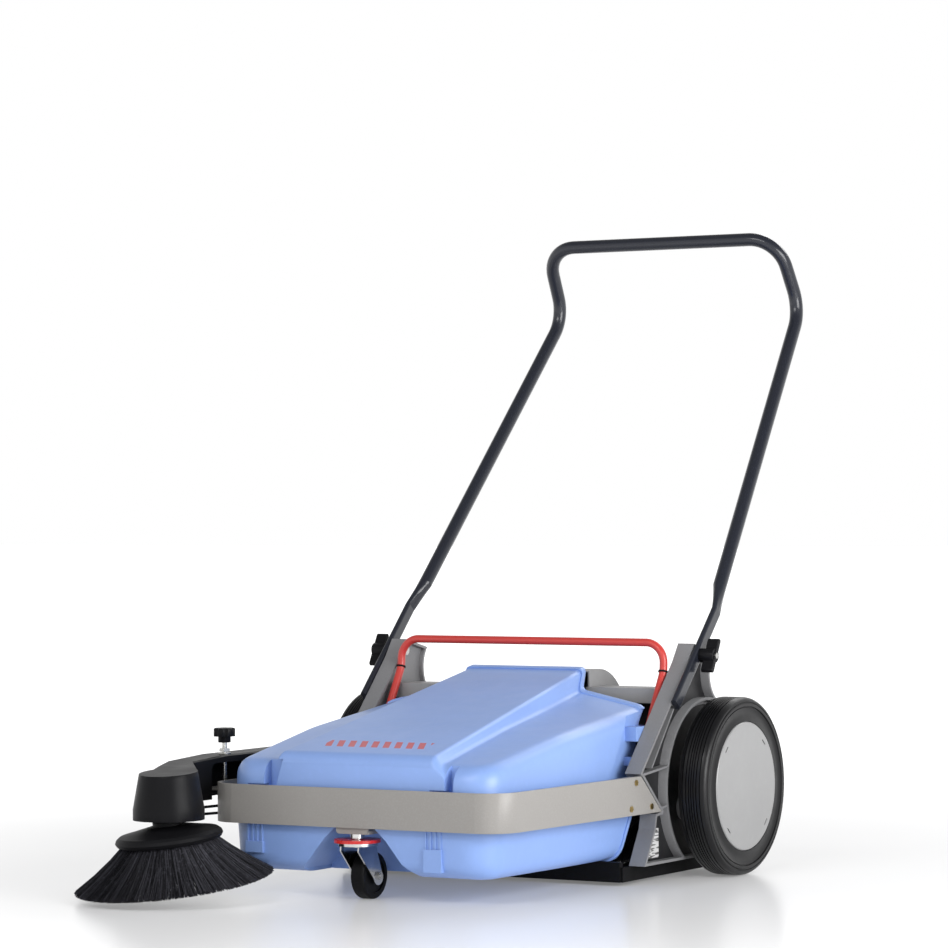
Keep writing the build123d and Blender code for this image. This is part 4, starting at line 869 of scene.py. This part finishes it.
class SWEEPER_OT_side_brush(SweeperOperator, bpy.types.Operator):
    """Finish the side brush"""

    bl_idname = "sweeper.side_brush"
    bl_label = "Side brush"

    def execute(self, context):
        look = finishes()
        black = moulded("brush_plastic", look.plastic, 0.5, grain=0.3)
        paint("brush_plate", black)
        paint("brush_pulley", black)
        tilt_x, tilt_y = 0.062, 0.100
        normal = Vector((-tilt_x, -tilt_y, 1)).normalized()
        ahead = Vector((1, 0, tilt_x)).normalized()
        left = normal.cross(ahead)
        middle = Vector((-268, -770, 105)) * MM
        draw = np.random.default_rng(11)
        size = sizes()
        count = size.brush_count
        ring = 1 - draw.random(count) ** 1.7
        turn = draw.random(count) * 2 * pi
        root = 57 + 19.5 * ring + draw.normal(0, 0.5, count)
        tip = 120 + 39.5 * ring + draw.normal(0, 0.8, count)
        drop = 83.6 - 7.0 * ring**3 - np.abs(draw.normal(0, 1.6, count))
        swirl = draw.normal(0, 0.03, count)
        frame_axes = np.array([ahead, left, normal])
        spines = []
        for share in (0.0, 0.3, 0.65, 1.0):
            r = (root + (tip - root) * share - 4.6 * sin(pi * share)) * MM
            r = np.minimum(r, 161.8 * MM)
            a = turn + swirl * share
            h = (-10.5 - (drop - 10.5) * share) * MM
            local = np.stack([r * np.cos(a), r * np.sin(a), h], axis=1)
            spines.append(np.array(middle) + local @ frame_axes)
        nylon = strands("brush_strand", look.bristle)
        # Random painted glint value of each strand
        painted_glints = draw.random(count)
        skirt = bristle_mesh(
            "brush_strands", np.stack(spines, axis=1), size.brush_strand, nylon, painted_glints
        )
        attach(skirt, "side_brush")
        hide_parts("brush_bristles")
        return {"FINISHED"}


class SWEEPER_OT_handle(SweeperOperator, bpy.types.Operator):
    """Finish the push handle and its wing knobs"""

    bl_idname = "sweeper.handle"
    bl_label = "Push handle"

    def execute(self, context):
        look = finishes()
        paint("handle_tube", powder("handle_coat", look.handle, 0.30, 0.05, coat=0.7))
        knob = moulded("wing_plastic", look.plastic, 0.38)
        paint("wing_knob_left", knob)
        paint("wing_knob_right", knob)
        soften("wing_knob_left", sizes().knob_edge)
        soften("wing_knob_right", sizes().knob_edge)
        return {"FINISHED"}


class SWEEPER_OT_hopper(SweeperOperator, bpy.types.Operator):
    """Finish the hopper and its bail"""

    bl_idname = "sweeper.hopper"
    bl_label = "Hopper and bail"

    def execute(self, context):
        look = finishes()
        plastic = moulded("hopper_plastic", look.hopper, 0.36, grain=0.08)
        # A plain row of red dashes is printed across the front of the deck
        printed = Surface.continued(plastic)
        mark = printed.dashes((-0.094, -0.590, 0.236), (0.102, -0.556, 0.262), 22 * MM, 0.45)
        printed.tint(mark, look.bail, 0.9)
        wall, bead = round(sizes().hopper_wall / MM, 3), round(sizes().rim_bead / MM, 3)
        fronts = (0, 1.2, 3.5, 7, 12, 18, 26, 36, 50)
        lengths = [HOPPER_FRONT + d for d in fronts]
        start, end = HOPPER_FRONT + 50, -60 - 14
        lengths += [start + (end - start) * k / 22 for k in range(1, 23)]
        outside = [(y, 0) for y in lengths]
        outside += [(-75.5, bead * 0.7), (-74.0, bead), (-62.0, bead), (-60.0, bead * 0.7)]
        shell = hopper_solid("hopper_skin", outside, 0)
        carve(shell, hopper_tools(0))
        inside = [(y + wall + 0.01, -wall) for y in lengths] + [(-40.0, -wall)]
        hollow = hopper_solid("hollow", inside, 12)
        carve(hollow, hopper_tools(wall))
        carve(shell, [hollow])
        carve(shell, hopper_fittings(), "UNION")
        shell.data.materials.clear()
        shell.data.materials.append(plastic)
        smooth_by_angle(shell, 36)
        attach(shell, "hopper")
        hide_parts("hopper_shell")
        paint("bail_tube", powder("bail_coat", look.bail, 0.36, 0.05, coat=0.1))
        paint("bail_rings", rubbery("bail_rubber", look.rubber))
        paint("bail_pins", plated("pin_zinc", look.zinc))
        return {"FINISHED"}


class SWEEPER_OT_caster(SweeperOperator, bpy.types.Operator):
    """Finish the front caster"""

    bl_idname = "sweeper.caster"
    bl_label = "Caster"

    def execute(self, context):
        look = finishes()
        chrome = plated("caster_chrome", (0.62, 0.62, 0.61), 0.16)
        for node in ("caster_fork", "caster_stem", "caster_axle"):
            paint(node, chrome)
        paint("caster_ring", moulded("ring_plastic", look.ring, 0.28))
        paint("caster_tyre", rubbery("caster_rubber", look.rubber, 0.5))
        paint("caster_hub", moulded("caster_plastic", look.plastic, 0.42))
        return {"FINISHED"}


class SWEEPER_OT_stage(SweeperOperator, bpy.types.Operator):
    """Build the studio: floor, soft lights and camera"""

    bl_idname = "sweeper.stage"
    bl_label = "Studio"

    def execute(self, context):
        scene = context.scene
        scene.view_settings.view_transform = "Standard"
        floor_mesh = bpy.data.meshes.new("studio_floor")
        corners = [(-30, -30, 0), (30, -30, 0), (30, 30, 0), (-30, 30, 0)]
        floor_mesh.from_pydata(corners, [], [(0, 1, 2, 3)])
        floor = bpy.data.objects.new("studio_floor", floor_mesh)
        scene.collection.objects.link(floor)
        floor_finish = Surface("floor_white", (0.74, 0.74, 0.75), 0.24)
        clouds = floor_finish.ramp(floor_finish.noise(3, 3), 0.3, 0.7)
        floor_finish.tint(clouds, (0.76, 0.76, 0.76), 0.4)
        # The floor glows more towards the backdrop, so that it runs into it without a line
        reach = floor_finish.nodes.new("ShaderNodeVectorMath")
        reach.operation = "LENGTH"
        floor_finish.links.new(floor_finish.place, reach.inputs[0])
        glow = floor_finish.nodes.new("ShaderNodeMapRange")
        glow.interpolation_type = "SMOOTHSTEP"
        glow.inputs["From Min"].default_value = 0.5
        glow.inputs["From Max"].default_value = 3.5
        glow.inputs["To Min"].default_value = 0.16
        glow.inputs["To Max"].default_value = 0.75
        floor_finish.links.new(reach.outputs["Value"], glow.inputs["Value"])
        floor_finish.links.new(glow.outputs["Result"], floor_finish.shader.inputs["Emission Strength"])
        floor_finish.shader.inputs["Emission Color"].default_value = (1, 1, 1, 1)
        floor_mesh.materials.append(floor_finish.material)
        world = bpy.data.worlds.new("studio_air")
        scene.world = world
        world.use_nodes = True
        tree = world.node_tree
        air = tree.nodes["Background"]
        direction = tree.nodes.new("ShaderNodeTexCoord")
        split = tree.nodes.new("ShaderNodeSeparateXYZ")
        fade = tree.nodes.new("ShaderNodeMapRange")
        fade.interpolation_type = "SMOOTHSTEP"
        fade.inputs["From Min"].default_value = 0.18
        fade.inputs["From Max"].default_value = 0.75
        fade.inputs["To Min"].default_value = 1.0
        fade.inputs["To Max"].default_value = 0.27
        tree.links.new(direction.outputs["Generated"], split.inputs["Vector"])
        tree.links.new(split.outputs["Z"], fade.inputs["Value"])
        tree.links.new(fade.outputs["Result"], air.inputs["Strength"])
        air.inputs["Color"].default_value = (1, 1, 1, 1)
        for name, place, target, size, power in (
            ("right_panel", (3.2, -1.2, 1.1), (0.2, -0.3, 0.2), (2.2, 1.6), 92),
            ("key_panel", (0.0, -2.9, 2.3), (0, -0.4, 0.2), (1.8, 0.8), 27),
            ("rear_panel", (0.3, 2.6, 2.4), (0, 0, 0.3), (2.4, 0.8), 26),
        ):
            light = bpy.data.lights.new(name, "AREA")
            light.shape = "RECTANGLE"
            light.size, light.size_y = size
            light.energy = power
            panel = bpy.data.objects.new(name, light)
            panel.location = place
            aim = Vector(target) - Vector(place)
            panel.rotation_euler = aim.to_track_quat("-Z", "Y").to_euler()
            scene.collection.objects.link(panel)
        # Camera: where it stands, and how far it is turned, lifted and rolled
        turn, lift, roll = radians(30.9), radians(1.57), radians(-0.46)
        forward = Vector((-sin(turn) * cos(lift), cos(turn) * cos(lift), sin(lift)))
        level = Vector((cos(turn), sin(turn), 0))
        upright = level.cross(forward)
        right = level * cos(roll) + upright * sin(roll)
        up = right.cross(forward)
        pose = Matrix((right, up, -forward)).transposed().to_4x4()
        pose.translation = (3.3096, -5.7304, 0.6593)
        camera = bpy.data.cameras.new("view_camera")
        camera.sensor_width = 36
        camera.lens = 144.06
        camera.shift_x = -0.0184
        camera.shift_y = -0.0966
        viewer = bpy.data.objects.new("view_camera", camera)
        viewer.matrix_world = pose
        scene.collection.objects.link(viewer)
        scene.camera = viewer
        return {"FINISHED"}


STEPS = (
    SWEEPER_OT_chassis,
    SWEEPER_OT_wheels,
    SWEEPER_OT_roller,
    SWEEPER_OT_brush_arm,
    SWEEPER_OT_side_brush,
    SWEEPER_OT_handle,
    SWEEPER_OT_hopper,
    SWEEPER_OT_caster,
    SWEEPER_OT_stage,
)


class SWEEPER_PT_panel(bpy.types.Panel):
    """Sidebar panel of the sweeper"""

    bl_label = "Walk-behind sweeper"
    bl_space_type = "VIEW_3D"
    bl_region_type = "UI"
    bl_category = "Sweeper"

    def draw(self, context):
        layout = self.layout
        for group in (context.scene.sweeper_sizes, context.scene.sweeper_finishes):
            for name in group.bl_rna.properties.keys():
                if name not in ("rna_type", "name"):
                    layout.prop(group, name)
        for step in STEPS:
            layout.operator(step.bl_idname)


CLASSES = (SweeperFinishes, SweeperSizes, *STEPS, SWEEPER_PT_panel)


def register():
    for cls in CLASSES:
        bpy.utils.register_class(cls)
    bpy.types.Scene.sweeper_finishes = PointerProperty(type=SweeperFinishes)
    bpy.types.Scene.sweeper_sizes = PointerProperty(type=SweeperSizes)


def unregister():
    del bpy.types.Scene.sweeper_sizes
    del bpy.types.Scene.sweeper_finishes
    for cls in reversed(CLASSES):
        bpy.utils.unregister_class(cls)


def main():
    register()
    for step in STEPS:
        group, name = step.bl_idname.split(".")
        getattr(getattr(bpy.ops, group), name)()


if __name__ == "__main__":
    main()
